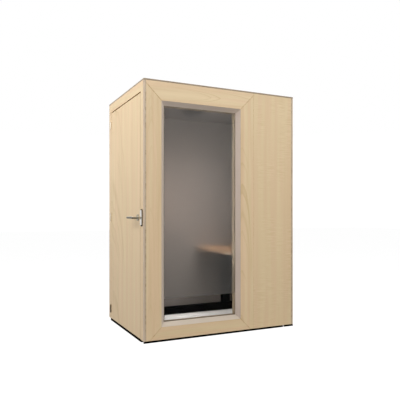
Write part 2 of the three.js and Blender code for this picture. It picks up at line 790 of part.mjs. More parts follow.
// A blade is a thin plate whose pitch eases off from root to tip
function fanBlade(turn, z) {
  const root = ROTOR_HUB_RADIUS * 0.9;
  const tip = DUCT_RADIUS - BLADE_TIP_GAP;
  const blade = new THREE.BoxGeometry(tip - root, BLADE_CHORD, BLADE_THICKNESS, 6, 1, 1);
  blade.translate((root + tip) / 2, 0, 0);
  const position = blade.attributes.position;
  for (let i = 0; i < position.count; i += 1) {
    const share = (position.getX(i) - root) / (tip - root);
    const pitch = THREE.MathUtils.degToRad(THREE.MathUtils.lerp(BLADE_ROOT_ANGLE, BLADE_TIP_ANGLE, share));
    const y = position.getY(i) * Math.cos(pitch) - position.getZ(i) * Math.sin(pitch);
    const rise = position.getY(i) * Math.sin(pitch) + position.getZ(i) * Math.cos(pitch);
    position.setY(i, y);
    position.setZ(i, rise);
  }
  return blade.rotateZ(turn).translate(FAN_X, FAN_Y, z);
}

function fanRotor() {
  const hubBottom = motorTop + FIT;
  const hubTop = hubBottom + ROTOR_HUB_HEIGHT;
  const socketTop = motorTop + MOTOR_SHAFT_LENGTH + FIT;
  const bore = MOTOR_SHAFT_RADIUS + FIT;
  const hub = revolve([
    [bore, hubBottom],
    [ROTOR_HUB_RADIUS, hubBottom],
    [ROTOR_HUB_RADIUS, hubTop],
    [0, hubTop],
    [0, socketTop],
    [bore, socketTop],
    [bore, hubBottom],
  ], FAN_X, FAN_Y, 0);
  const blades = [];
  for (let i = 0; i < BLADE_COUNT; i += 1) {
    blades.push(fanBlade((2 * Math.PI * i) / BLADE_COUNT, (hubBottom + hubTop) / 2));
  }
  return join(hub, ...blades);
}

// Three sloped rings and a middle dish, held by spokes under the ceiling
function ceilingDiffuser() {
  const top = ceiling - FIT;
  const low = top - DIFFUSER_DROP;
  const flange = ring(DUCT_RADIUS, DIFFUSER_RADIUS, top - DIFFUSER_SHEET, top);
  const coneStep = DUCT_RADIUS / 3;
  const cones = [1, 2].map((step) => {
    const outer = coneStep * (step + 1) - DIFFUSER_SPOKE;
    const inner = outer - coneStep + 2 * DIFFUSER_SPOKE;
    return revolve([
      [outer, low],
      [outer, low + DIFFUSER_SHEET],
      [inner, top],
      [inner - DIFFUSER_SHEET, top],
      [outer - DIFFUSER_SHEET, low],
      [outer, low],
    ], FAN_X, FAN_Y, 0);
  });
  const dish = revolve([
    [0, low],
    [coneStep, low],
    [coneStep, low + DIFFUSER_SHEET],
    [DIFFUSER_SPOKE, top],
    [0, top],
  ], FAN_X, FAN_Y, 0);
  const reach = (DUCT_RADIUS + DIFFUSER_RADIUS) / 2;
  return join(flange, ...cones, dish, ...spokes(4, reach, DIFFUSER_SPOKE, top - 2 * DIFFUSER_SHEET, top));
}

function roofVentCover() {
  const base = boardTop + FIT;
  const top = base + VENT_HEIGHT;
  const rim = ring(VENT_RADIUS - VENT_RIM, VENT_RADIUS, base, top);
  const pitch = (VENT_RADIUS - VENT_RIM) / VENT_RINGS;
  const rings = [];
  for (let i = 1; i < VENT_RINGS; i += 1) {
    rings.push(ring(i * pitch - VENT_BAR / 2, i * pitch + VENT_BAR / 2, base, top));
  }
  const reach = VENT_RADIUS - VENT_RIM / 2;
  return join(rim, ...rings, ...spokes(VENT_SPOKES, reach, VENT_BAR, base, top));
}

add('fan_housing', fanHousing(), blackPlastic);
add('fan_rotor', fanRotor(), blackPlastic);
add('ceiling_diffuser', ceilingDiffuser(), blackPlastic);
add('roof_vent_cover', roofVentCover(), blackPlastic);

// Desk: fixed to the right wall, with a front edge that swells towards the sitter

const deskRight = innerRight - FIT;
const deskBack = innerBack - FIT;
const deskFront = innerFront + DESK_FRONT_GAP;
const deskBottom = DESK_HEIGHT - DESK_THICKNESS;

function deskTop() {
  const edge = deskRight - DESK_REACH;
  const shape = new THREE.Shape();
  shape.moveTo(deskRight, deskFront);
  shape.lineTo(deskRight, deskBack);
  shape.lineTo(deskRight - DESK_REAR_REACH, deskBack);
  shape.quadraticCurveTo(edge, (deskBack + deskFront) / 2, edge, deskFront + DESK_CORNER);
  shape.quadraticCurveTo(edge, deskFront, edge + DESK_CORNER, deskFront);
  shape.closePath();
  return prismZ(shape, deskBottom, DESK_HEIGHT);
}

// A gusset with a hollow lower edge
function deskBracket(y) {
  const top = deskBottom - FIT;
  const toeX = deskRight - BRACKET_REACH;
  const toeZ = top - BRACKET_DROP;
  const shape = new THREE.Shape();
  shape.moveTo(deskRight, top);
  shape.lineTo(toeX, top);
  shape.lineTo(toeX, top - BRACKET_TOE);
  shape.quadraticCurveTo(deskRight - BRACKET_TOE, top - BRACKET_TOE, deskRight - BRACKET_TOE, toeZ);
  shape.lineTo(deskRight, toeZ);
  shape.closePath();
  return prismY(shape, y - BRACKET_THICKNESS / 2, y + BRACKET_THICKNESS / 2);
}

const columnRight = innerRight - COLUMN_INSET;
const columnLeft = columnRight - COLUMN_WIDTH;
const columnBack = innerBack - FIT;
const columnFront = columnBack - COLUMN_DEPTH;

add('desk_top', deskTop(), deskWood);
add('desk_bracket', deskBracket(-BRACKET_OFFSET), blackPlastic);
add('desk_column', prismZ(
  roundedRectangle(columnLeft, columnRight, columnFront, columnBack, COLUMN_ROUND),
  skirtingTop + FIT, deskBottom - FIT, 0, 4), blackPlastic);

export default pod;
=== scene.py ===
"""Looks of the acoustic office pod: its finishes, small fittings, studio and camera, in metres."""

import json
import math

import bmesh
import bpy
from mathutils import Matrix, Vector


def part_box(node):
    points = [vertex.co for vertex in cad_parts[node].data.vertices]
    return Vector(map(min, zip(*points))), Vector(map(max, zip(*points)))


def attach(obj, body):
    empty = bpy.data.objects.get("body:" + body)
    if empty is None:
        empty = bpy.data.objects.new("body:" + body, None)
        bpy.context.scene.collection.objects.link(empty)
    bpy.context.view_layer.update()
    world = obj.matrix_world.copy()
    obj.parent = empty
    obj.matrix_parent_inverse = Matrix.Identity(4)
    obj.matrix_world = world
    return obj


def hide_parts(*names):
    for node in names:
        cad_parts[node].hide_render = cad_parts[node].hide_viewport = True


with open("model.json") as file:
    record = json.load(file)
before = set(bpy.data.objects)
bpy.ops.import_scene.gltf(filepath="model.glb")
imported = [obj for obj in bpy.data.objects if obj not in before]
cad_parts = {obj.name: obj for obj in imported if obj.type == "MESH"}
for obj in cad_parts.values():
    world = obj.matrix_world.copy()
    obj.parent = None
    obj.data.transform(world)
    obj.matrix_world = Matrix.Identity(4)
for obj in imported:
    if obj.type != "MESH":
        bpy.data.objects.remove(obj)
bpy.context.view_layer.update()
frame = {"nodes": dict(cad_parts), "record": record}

MM = 0.001

# Camera at the photograph's place, found from the corners of the pod
CAMERA_PLACE = (-2.0545, -4.3065, 1.0635)
CAMERA_YAW = math.radians(-25.74)
CAMERA_LENS = 43.09
CAMERA_SENSOR = 36.0
CAMERA_SHIFT = 0.038

# Merging of a solid's triangles, and the angles from which an edge is eased or stays creased
WELD = 0.01 * MM
FLAT_ANGLE = math.radians(0.5)
SHARP_ANGLE = math.radians(32)
CREASE_ANGLE = SHARP_ANGLE * 1.4

# How far the edges of each kind of piece are eased
EASE_PROFILE = 0.6
BOARD_EASE = 0.7 * MM
MITRE_EASE = 1.8 * MM
POST_EASE = 3.0 * MM
TRIM_EASE = 0.8 * MM
PANEL_EASE = 0.05 * MM
DESK_EASE = 3.0 * MM
METAL_EASE = 0.6 * MM
SHEET_EASE = 0.2 * MM
FILM_EASE = 0.05 * MM

# Gap between pieces that touch, painted shade on the boards' edges beside the front post, painted shadow line
# on a post
PLAY = 0.3 * MM
POST_SHADE = 3.0
POST_SHADOW_LINE = 8.0 * MM

# Shares of a direction along an axis: where a face looks that way, an edge is slanted, a second colour starts
# (a lever's painted highlight on top, painted shade on the diffuser's side, the desk's edging)
LOOKS_ALONG = 0.9
MITRE_SLANT = 0.1
LEVER_HIGHLIGHT = 0.25
DESK_SIDE = 0.7
DISC_SHADED_SIDE = 0.5

# Window: how far the frame opens past its solids and the reveal stays back, its gasket and its mitre joints
SIGHT_TRIM = 5 * MM
REVEAL_TRIM = 6 * MM
GASKET_WIDTH = 5 * MM
GASKET_HEIGHT = 2.4 * MM
MITRE_JOINT = 0.4 * MM

# Black base of the keep plate, whose rim round the cap is painted shade, and its cap; ribs of the door seal
# above its floor
KEEP_BASE_SHARE = 0.45
KEEP_END_MARGIN = 8 * MM
KEEP_SIDE_MARGIN = 0.6 * MM
KEEP_CORNER_STEPS = 5
SEAL_WIDTH = 8 * MM
SEAL_FLOOR_SHARE = 0.55
SEAL_RIBS = 3
SEAL_RIB_STEPS = 5

# Screws as head radius, head height and socket radius, and the places that carry them
PLATE_SCREW = (3.6 * MM, 0.8 * MM, 1.6 * MM)
LEAF_SCREW = (3.4 * MM, 0.2 * MM, 1.4 * MM)
VENT_SCREW = (4.0 * MM, 1.8 * MM, 2.0 * MM)
VENT_SCREWS = 6
VENT_RIM = 18 * MM
HINGE_LEVELS = ("low", "mid", "high")
LEAF_SCREWS = 3
LEAF_SCREW_LINE = 0.62
LEAF_SCREW_STAGGER = 10 * MM
FACEPLATE_SCREW_REACH = 105 * MM

# Shape of a screw and of a levelling foot, as shares of their sizes
HEAD_TAPER = 0.82
SOCKET_LIFT = 0.4
PAD_TAPER = 0.9
NUT_SHARE = 0.62
HEAD_SIDES = 20
PAD_SIDES = 32
HEXAGON = 6

# Levelling feet as pad radius, pad height and nut height, and their places in the base
CORNER_FOOT = (9 * MM, 7 * MM, 9 * MM)
FRONT_FOOT = (8 * MM, 12 * MM, 6 * MM)
CORNER_RECESS = (46 * MM, 59 * MM)
FRONT_FOOT_INSET = (109 * MM, 10 * MM)

# Directions in the pod's frame, where the window looks forward and the door to the left
LEFT = Vector((-1, 0, 0))
FORWARD = Vector((0, -1, 0))
BACK = Vector((0, 1, 0))
UP = Vector((0, 0, 1))
DOWN = Vector((0, 0, -1))


class Graph:
    """A node tree under construction. An input takes a plain value or the output of an earlier node."""

    def __init__(self, tree):
        self.tree = tree

    def feed(self, socket, value):
        if isinstance(value, bpy.types.NodeSocket):
            self.tree.links.new(value, socket)
        else:
            socket.default_value = value

    def feed_all(self, sockets, values):
        for name, value in values.items():
            self.feed(sockets[name], value)

    def node(self, kind, inputs=None, **settings):
        made = self.tree.nodes.new(kind)
        for name, value in settings.items():
            setattr(made, name, value)
        self.feed_all(made.inputs, inputs or {})
        return made

    def math(self, operation, first, second=0.0, clamp=False):
        made = self.node("ShaderNodeMath", {0: first, 1: second}, operation=operation, use_clamp=clamp)
        return made.outputs[0]

    def add(self, *values):
        total = values[0]
        for value in values[1:]:
            total = self.math("ADD", total, value)
        return total

    def times(self, *values):
        product = values[0]
        for value in values[1:]:
            product = self.math("MULTIPLY", product, value)
        return product

    def scaled(self, vector, scale):
        made = self.node("ShaderNodeVectorMath", {0: vector, 1: scale}, operation="MULTIPLY")
        return made.outputs[0]

    def parts(self, vector):
        return self.node("ShaderNodeSeparateXYZ", {0: vector}).outputs

    def vector(self, **parts):
        return self.node("ShaderNodeCombineXYZ", parts).outputs[0]

    def noise(self, vector, scale=1.0, detail=2.0, roughness=0.5, distortion=0.0):
        made = self.node("ShaderNodeTexNoise", {
            "Vector": vector, "Scale": scale, "Detail": detail,
            "Roughness": roughness, "Distortion": distortion})
        return made.outputs["Fac"]

    def ramp(self, value, low, high, to_low=0.0, to_high=1.0):
        made = self.node("ShaderNodeMapRange", {
            "Value": value, "From Min": low, "From Max": high, "To Min": to_low, "To Max": to_high},
            interpolation_type="SMOOTHSTEP")
        return made.outputs["Result"]

    def blend(self, factor, first, second, mode="MIX"):
        made = self.node(
            "ShaderNodeMix", {0: factor, 6: first, 7: second}, data_type="RGBA", blend_type=mode)
        return made.outputs[2]

    def group(self, tree, inputs):
        return self.node("ShaderNodeGroup", inputs, node_tree=tree).outputs


FLOAT = "NodeSocketFloat"
COLOR = "NodeSocketColor"
VECTOR = "NodeSocketVector"
GEOMETRY = "NodeSocketGeometry"
MATERIAL = "NodeSocketMaterial"


def new_group(name, inputs, outputs, kind="ShaderNodeTree"):
    """A node group with named sockets. Gives its graph, the outputs of its entry and its exit's inputs."""
    tree = bpy.data.node_groups.new(name, kind)
    for label, socket in inputs.items():
        tree.interface.new_socket(name=label, in_out="INPUT", socket_type=socket)
    for label, socket in outputs.items():
        tree.interface.new_socket(name=label, in_out="OUTPUT", socket_type=socket)
    graph = Graph(tree)
    entry = graph.node("NodeGroupInput")
    leave = graph.node("NodeGroupOutput")
    return graph, entry.outputs, leave.inputs


def tint(code):
    """A linear colour from a six-digit screen colour."""
    channels = [int(code[i:i + 2], 16) / 255 for i in (0, 2, 4)]
    linear = [c / 12.92 if c <= 0.04045 else ((c + 0.055) / 1.055) ** 2.4 for c in channels]
    return (*linear, 1.0)


# Effects that several finishes share

def maple_figure():
    """Sliced maple: broad and narrow streaks, fibres, pointed arches about a crown line and a cross ripple.
    Place is across the board, the board's own number, and along its grain."""
    graph, entry, leave = new_group(
        "maple_figure",
        {"Place": VECTOR, "Streaks": FLOAT, "Crown": FLOAT, "Spread": FLOAT, "Rise": FLOAT,
         "Arches": FLOAT, "Ripple": FLOAT, "Pale": COLOR, "Deep": COLOR, "Rosy": COLOR},
        {"Color": COLOR, "Height": FLOAT})
    raw = entry["Place"]
    wander = graph.noise(graph.scaled(raw, (4.0, 1.0, 1.1)), detail=1.0)
    sway = graph.vector(X=graph.times(graph.add(wander, -0.5), 0.05))
    place = graph.node("ShaderNodeVectorMath", {0: raw, 1: sway}, operation="ADD").outputs[0]
    broad = graph.noise(graph.scaled(place, (15.0, 1.0, 0.5)), detail=2.0)
    narrow = graph.noise(graph.scaled(place, (70.0, 3.0, 2.2)), detail=3.0, roughness=0.6)
    fibre = graph.noise(graph.scaled(place, (900.0, 7.0, 26.0)), detail=2.0)
    flecks = graph.noise(graph.scaled(raw, (260.0, 7.0, 60.0)), detail=1.0)

    # The arches' sides grow steeper away from the crown until they run straight
    parts = graph.parts(place)
    aside = graph.math("DIVIDE", graph.math("SUBTRACT", parts["X"], entry["Crown"]), entry["Spread"])
    share = graph.math("MINIMUM", graph.times(aside, aside), 0.97)
    lean = graph.add(share, graph.times(graph.math("ABSOLUTE", aside), 0.4))
    reach = graph.math("DIVIDE", lean, graph.math("SUBTRACT", 1.0, share))
    bend = graph.noise(graph.scaled(raw, (9.0, 2.0, 1.6)), detail=1.0)
    along = graph.add(parts["Z"], graph.times(reach, entry["Rise"]), graph.times(bend, 0.2))
    level = graph.vector(Y=parts["Y"], Z=graph.times(along, 2.3))
    uneven = graph.times(graph.noise(level, detail=1.0), 5.0)
    ring = graph.math("FRACT", graph.add(graph.math("DIVIDE", along, entry["Rise"]), uneven))
    line = graph.math("POWER", ring, 7.0)
    near = graph.ramp(share, 0.97, 0.6)
    patchy = graph.ramp(graph.noise(graph.scaled(raw, (3.0, 5.0, 1.4)), detail=1.0), 0.34, 0.56)
    arches = graph.times(line, near, patchy, entry["Arches"])

    waves = graph.noise(graph.scaled(raw, (9.0, 3.0, 120.0)), detail=2.0)
    where = graph.ramp(graph.noise(graph.scaled(raw, (5.0, 4.0, 2.2)), detail=2.0), 0.4, 0.62)
    ripple = graph.times(graph.math("SUBTRACT", waves, 0.5), where, entry["Ripple"])

    streaks = graph.add(graph.times(broad, 0.95), graph.times(narrow, 0.5), graph.times(fibre, 0.3), -0.875)
    grain = graph.add(graph.times(streaks, entry["Streaks"]), graph.times(flecks, 0.12), ripple, 0.44)
    tone = graph.math("SUBTRACT", grain, arches, clamp=True)
    warmth = graph.noise(graph.scaled(place, (19.0, 11.0, 0.6)), detail=1.0)
    paled = graph.blend(graph.ramp(warmth, 0.38, 0.62), entry["Pale"], entry["Rosy"])
    graph.feed_all(leave, {
        "Color": graph.blend(tone, entry["Deep"], paled),
        "Height": graph.add(fibre, graph.times(narrow, 0.5))})
    return graph.tree


def felt_fibre():
    """Pressed felt: a cloudy mottle, matted fibres and a few pale hairs."""
    graph, entry, leave = new_group(
        "felt_fibre", {"Place": VECTOR, "Dark": COLOR, "Light": COLOR}, {"Color": COLOR, "Height": FLOAT})
    cloud = graph.noise(entry["Place"], 9.0, detail=2.0)
    matted = graph.noise(entry["Place"], 420.0, detail=4.0, roughness=0.7, distortion=1.2)
    hairs = graph.noise(graph.scaled(entry["Place"], (900.0, 900.0, 160.0)), detail=1.0, distortion=2.0)
    mix = graph.add(graph.times(cloud, 0.4), graph.times(matted, 0.6))
    mix = graph.math("ADD", mix, graph.ramp(hairs, 0.66, 0.78, 0.0, 0.35), clamp=True)
    graph.feed_all(leave, {
        "Color": graph.blend(mix, entry["Dark"], entry["Light"]),
        "Height": graph.add(matted, graph.times(hairs, 0.5))})
    return graph.tree


def brushed_lines():
    """Fine scratches along the stretch of Brush, with cloudy handling marks over Place."""
    graph, entry, leave = new_group(
        "brushed_lines", {"Place": VECTOR, "Brush": VECTOR}, {"Lines": FLOAT, "Sheen": FLOAT})
    lines = graph.noise(graph.scaled(entry["Place"], entry["Brush"]), detail=3.0, roughness=0.65)
    marks = graph.noise(entry["Place"], 14.0, detail=3.0)
    sheen = graph.add(graph.times(lines, 0.5), graph.times(marks, 0.5))
    graph.feed_all(leave, {"Lines": lines, "Sheen": sheen})
    return graph.tree


def moulded_grain():
    """A fine pebbled skin and a faint cloudiness, for laminates, plastics and rubber."""
    graph, entry, leave = new_group(
        "moulded_grain", {"Place": VECTOR, "Grain": FLOAT}, {"Tone": FLOAT, "Height": FLOAT})
    pebble = graph.node(
        "ShaderNodeTexVoronoi", {"Vector": entry["Place"], "Scale": entry["Grain"]}).outputs["Distance"]
    cloud = graph.noise(entry["Place"], 6.0, detail=3.0)
    tone = graph.math("ADD", graph.times(pebble, 0.35), cloud, clamp=True)
    graph.feed_all(leave, {"Tone": tone, "Height": pebble})
    return graph.tree


def wear_and_painted_light_mask():
    """Spotty mask of the faces that a piece marks with the attribute edge: worn eased edges, and painted
    shade and painted highlights.
    """
    graph, entry, leave = new_group("wear_and_painted_light_mask", {"Place": VECTOR, "Amount": FLOAT}, {"Mask": FLOAT})
    edge = graph.node("ShaderNodeAttribute", attribute_name="edge").outputs["Fac"]
    spots = graph.ramp(graph.noise(entry["Place"], 38.0, detail=4.0), 0.4, 0.7)
    wear_and_painted_light = graph.times(edge, graph.add(graph.times(spots, 0.7), 0.3))
    graph.feed(leave["Mask"], graph.math("MULTIPLY", wear_and_painted_light, entry["Amount"], clamp=True))
    return graph.tree


MAPLE = maple_figure()
FELT = felt_fibre()
BRUSHED = brushed_lines()
GRAIN = moulded_grain()
WEAR_AND_PAINTED_LIGHT = wear_and_painted_light_mask()


# Finishes

def new_material(name):
    """A material with its graph, its shader and the object coordinates that its pattern reads."""
    material = bpy.data.materials.new(name)
    material.use_nodes = True
    graph = Graph(material.node_tree)
    shader = material.node_tree.nodes["Principled BSDF"].inputs
    place = graph.node("ShaderNodeTexCoord").outputs["Object"]
    return material, graph, shader, place


def bump(graph, shader, height, strength, distance):
    """Fine relief from the height of a pattern."""
    made = graph.node("ShaderNodeBump", {"Strength": strength, "Distance": distance, "Height": height})
    graph.feed(shader["Normal"], made.outputs["Normal"])


def wood(name, across, along, number, pale, deep, rosy, streaks=1.0, crown=0.0, spread=0.2, rise=0.25,
         arches=0.0, ripple=0.1, gloss=0.5, edging=None):
    """Sliced wood whose grain runs along one axis. Each board has a number that picks its own figure.
    Its marked faces are darker, for worn edges and for painted shade under boards and beside the front post,
    or have an edging of their own."""
    material, graph, shader, place = new_material(name)
    axes = graph.parts(place)
    turned = graph.vector(X=axes[across], Y=number, Z=axes[along])
    figure = graph.group(MAPLE, {
        "Place": turned, "Streaks": streaks, "Crown": crown, "Spread": spread, "Rise": rise,
        "Arches": arches, "Ripple": ripple, "Pale": tint(pale), "Deep": tint(deep), "Rosy": tint(rosy)})
    wear_and_painted_light = graph.group(WEAR_AND_PAINTED_LIGHT, {"Place": place, "Amount": 1.2})["Mask"]
    if edging is None:
        colour = graph.blend(wear_and_painted_light, figure["Color"], tint(deep), "MULTIPLY")
    else:
        colour = graph.blend(wear_and_painted_light, figure["Color"], tint(edging))
    graph.feed_all(shader, {
        "Base Color": colour, "Specular IOR Level": 0.3,
        "Roughness": graph.ramp(figure["Height"], 0.2, 1.2, gloss - 0.06, gloss + 0.08)})
    bump(graph, shader, figure["Height"], 0.12, 0.2 * MM)
    return material


def veneer(name, across, along, number, pale="e9d5b0", rosy="e8cbaa", **figure):
    """The pod's pale wood, with the figure of one board."""
    return wood(name, across, along, number, pale, "cfb489", rosy, **figure)


def felt(name, dark, light):
    material, graph, shader, place = new_material(name)
    fibre = graph.group(FELT, {"Place": place, "Dark": tint(dark), "Light": tint(light)})
    graph.feed_all(shader, {
        "Base Color": fibre["Color"], "Roughness": 0.95, "Specular IOR Level": 0.2,
        "Sheen Weight": 0.08, "Sheen Roughness": 0.5})
    bump(graph, shader, fibre["Height"], 0.5, 0.5 * MM)
    return material


def metal(name, colour, wear_and_painted_light_colour, brush, smooth, rough, metallic=1.0, wear_and_painted_light_amount=0.5, streak=1.0):
    """Brushed metal. Brush is the fineness of the brushing along each axis, streak how much it shows. Marked
    faces take the second colour: worn edges, the posts' painted shadow line and the lever's painted
    highlight.
    """
    material, graph, shader, place = new_material(name)
    brushed = graph.group(BRUSHED, {"Place": place, "Brush": brush})
    wear_and_painted_light = graph.group(WEAR_AND_PAINTED_LIGHT, {"Place": place, "Amount": wear_and_painted_light_amount})["Mask"]
    lines = graph.ramp(brushed["Lines"], 0.2, 1.0, 0.0, streak)
    streaked = graph.blend(lines, tint(colour), tint(wear_and_painted_light_colour))
    graph.feed_all(shader, {
        "Base Color": graph.blend(wear_and_painted_light, streaked, tint(wear_and_painted_light_colour)), "Metallic": metallic,
        "Roughness": graph.ramp(brushed["Sheen"], 0.3, 0.7, smooth, rough)})
    bump(graph, shader, brushed["Lines"], 0.06, 0.05 * MM)
    return material


def moulded(name, dark, light, wear_and_painted_light_colour, grain, gloss, wear_and_painted_light_amount=0.4, shine=0.3):
    """Laminate, plastic, paint or rubber with a fine skin, in another tone where its edges are rubbed, and on
    the diffuser's side as painted shade.
    """
    material, graph, shader, place = new_material(name)
    skin = graph.group(GRAIN, {"Place": place, "Grain": grain})
    wear_and_painted_light = graph.group(WEAR_AND_PAINTED_LIGHT, {"Place": place, "Amount": wear_and_painted_light_amount})["Mask"]
    base = graph.blend(skin["Tone"], tint(dark), tint(light))
    graph.feed_all(shader, {
        "Base Color": graph.blend(wear_and_painted_light, base, tint(wear_and_painted_light_colour)), "Specular IOR Level": shine,
        "Roughness": graph.ramp(skin["Tone"], 0.2, 0.9, gloss - 0.05, gloss + 0.08)})
    bump(graph, shader, skin["Height"], 0.1, 0.1 * MM)
    return material


# The pane and its film: tints, how much they blur what lies behind, and how they bend light
GLASS_TINT = (0.785, 0.78, 0.77, 1.0)
GLASS_IOR = 1.12
GLASS_EDGE_TINT = (0.3, 0.36, 0.34, 1.0)
ETCHED_BLUR = 0.38
FILM_TINT = (0.94, 0.935, 0.925, 1.0)
FILM_SHADE = (0.9, 0.895, 0.885, 1.0)
FILM_BLUR = 0.34
FILM_MOTTLE = 0.02
FILM_IOR = 1.15
FILM_CLEARNESS = 0.98


def lets_lamps_through(material, graph, colour):
    """Lets the lamps' light pass a glass finish straight, with a tint."""
    clear = graph.node("ShaderNodeBsdfTransparent", {"Color": colour})
    from_lamp = graph.node("ShaderNodeLightPath").outputs["Is Shadow Ray"]
    principled = material.node_tree.nodes["Principled BSDF"].outputs[0]
    mixed = graph.node("ShaderNodeMixShader", {0: from_lamp, 1: principled, 2: clear.outputs[0]})
    graph.feed(material.node_tree.nodes["Material Output"].inputs["Surface"], mixed.outputs[0])


def tinted_glass():
    """A grey pane, greener at its edges and etched above the film."""
    material, graph, shader, place = new_material("tinted_glass")
    edge = graph.node("ShaderNodeAttribute", attribute_name="edge").outputs["Fac"]
    film_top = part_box("privacy_film")[1].z
    height = graph.parts(place)["Z"]
    graph.feed_all(shader, {
        "Base Color": graph.blend(edge, GLASS_TINT, GLASS_EDGE_TINT),
        "Roughness": graph.ramp(height, film_top - MM, film_top + MM, 0.0, ETCHED_BLUR),
        "IOR": GLASS_IOR, "Transmission Weight": 1.0})
    lets_lamps_through(material, graph, GLASS_TINT)
    return material


def frosted_film():
    """A matt film that blurs what lies behind it and adds a faint haze, with a fine etched mottle."""
    material, graph, shader, place = new_material("frosted_film")
    cloud = graph.noise(place, 5.0, detail=3.0)
    etch = graph.noise(place, 1800.0, detail=2.0)
    graph.feed_all(shader, {
        "Base Color": graph.blend(cloud, FILM_SHADE, FILM_TINT),
        "Roughness": graph.ramp(etch, 0.3, 0.7, FILM_BLUR - FILM_MOTTLE, FILM_BLUR + FILM_MOTTLE),
        "IOR": FILM_IOR, "Transmission Weight": FILM_CLEARNESS})
    lets_lamps_through(material, graph, FILM_TINT)
    return material


# Fineness of brushing lines that run upright, across the front and into its depth
BRUSH_UPRIGHT = (1400.0, 1400.0, 9.0)
BRUSH_ACROSS = (9.0, 1400.0, 1400.0)
BRUSH_DEEP = (1400.0, 9.0, 1400.0)


def champagne(name, brush, colour="c8b6a6", wear_and_painted_light="d6c8ba", metallic=0.3, wear_and_painted_light_amount=0.5):
    """Satin anodised trim."""
    return metal(name, colour, wear_and_painted_light, brush, 0.38, 0.5, metallic, wear_and_painted_light_amount)


FINISH = {
    "felt_wall": felt("felt_wall", "746d68", "908984"),
    "felt_ceiling": felt("felt_ceiling", "7f7d7b", "908d8b"),
    "pale_floor": moulded("pale_floor", "d6d4d0", "e8e6e2", "d8d6d2", 900.0, 0.55, wear_and_painted_light_amount=0.0),
    # Posts: the dark second colour is a painted shadow line down the inner side of the face
    "trim_post": champagne("trim_post", BRUSH_UPRIGHT, "d5c2ab", "a58e71", metallic=0.06, wear_and_painted_light_amount=1.0),
    # The window frame's four strips share one trim, each coloured lighter or darker for the light that falls
    # on it: painted light and shade
    "trim_left": champagne("trim_left", BRUSH_UPRIGHT, "dccbbb", "e6d8ca"),
    "trim_right": champagne("trim_right", BRUSH_UPRIGHT, "b2a194", "c0b1a5", metallic=0.1),
    "trim_top": champagne("trim_top", BRUSH_ACROSS, "d2c1b1", "dfd2c5"),
    "trim_bottom": champagne("trim_bottom", BRUSH_ACROSS, "cfc0ae", "dacdbc"),
    "satin_steel": metal("satin_steel", "bdbab3", "d8d5ce", BRUSH_UPRIGHT, 0.2, 0.34),
    "hinge_steel": metal("hinge_steel", "e6dbc8", "ece3d4", BRUSH_UPRIGHT, 0.24, 0.36, metallic=0.15),
    # A dark copy of the hinge finish for the low hinge: painted shade
    "shaded_hinge": metal("shaded_hinge", "4c4030", "5d503c", BRUSH_UPRIGHT, 0.3, 0.4),
    # A dark lever whose upper faces take a painted highlight in the pale second colour
    "lever_steel": metal("lever_steel", "453f30", "e6e1d4", BRUSH_DEEP, 0.38, 0.48, wear_and_painted_light_amount=3.0, streak=0.25),
    "rose_steel": metal("rose_steel", "8d8576", "a29b8c", BRUSH_UPRIGHT, 0.24, 0.36),
    "foot_steel": metal("foot_steel", "dad8d4", "e6e4e0", BRUSH_UPRIGHT, 0.36, 0.5, metallic=0.3),
    "black_board": moulded("black_board", "020202", "060606", "0b0a0a", 700.0, 0.8, shine=0.0),
    "roof_board": moulded("roof_board", "131313", "1f1e1e", "2a2928", 700.0, 0.7, shine=0.2),
    "black_plastic": moulded("black_plastic", "101010", "1a1a1a", "333230", 1100.0, 0.5),
    # Its darker second colour is painted shade on the diffuser's side
    "grey_plastic": moulded("grey_plastic", "68686a", "747475", "565657", 1100.0, 0.6, wear_and_painted_light_amount=3.0),
    "black_steel": moulded("black_steel", "101010", "191919", "3a3937", 1600.0, 0.42),
    "rubber": moulded("rubber", "121110", "1c1b19", "24221f", 600.0, 0.8, wear_and_painted_light_amount=0.2, shine=0.2),
    "gasket": moulded("gasket", "5e5245", "6e6152", "786c5b", 600.0, 0.75, wear_and_painted_light_amount=0.2, shine=0.15),
    "tinted_glass": tinted_glass(),
    "frosted_film": frosted_film(),
    "core_wood": wood("core_wood", "X", "Z", 71.0, "d3bb94", "b89c74", "d2b592"),
}


# Meshes and pieces

def new_object(name, data):
    """An object in the scene for a mesh, a lamp or a camera."""
    made = bpy.data.objects.new(name, data)
    bpy.context.scene.collection.objects.link(made)
    return made


def add_piece(name, mesh, body, material, node=None):
    """Puts a finished mesh in the scene as a piece of the pod. Flat faces stay flat beside eased edges."""
    mesh.materials.clear()
    mesh.materials.append(material)
    piece = new_object(name, mesh)
    weighted = piece.modifiers.new("flat_faces", "WEIGHTED_NORMAL")
    weighted.keep_sharp = True
    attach(piece, body)
    if node is not None:
        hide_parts(node)


def edge_mark(work):
    """The attribute edge of a bmesh's faces, which finishes read."""
    layers = work.faces.layers.float
    return layers.get("edge") or layers.new("edge")


def round_edges(work, edges, width, segments=2, shade=1.0):
    """Rounds edges of a bmesh and marks the new faces."""
    mark = edge_mark(work)
    made = bmesh.ops.bevel(
        work, geom=edges, offset=width, segments=segments, profile=EASE_PROFILE, affect="EDGES",
        clamp_overlap=True)
    for face in made["faces"]:
        face[mark] = shade


def ease_edges(work, width, segments=2):
    """Rounds the sharp edges of a bmesh."""
    edge_mark(work)
    sharp = [e for e in work.edges if e.is_manifold and e.calc_face_angle() > SHARP_ANGLE]
    round_edges(work, sharp, width, segments)


def mark_faces(work, is_marked):
    """Marks the faces that pass a test, and clears the mark of all others."""
    mark = edge_mark(work)
    for face in work.faces:
        face[mark] = float(is_marked(face))


def to_mesh(work, name):
    """A mesh with smooth shading that breaks at edges which are still sharp."""
    for face in work.faces:
        face.smooth = True
    for edge in work.edges:
        edge.smooth = edge.is_manifold and edge.calc_face_angle() < CREASE_ANGLE
    mesh = bpy.data.meshes.new(name)
    work.to_mesh(mesh)
    work.free()
    return mesh


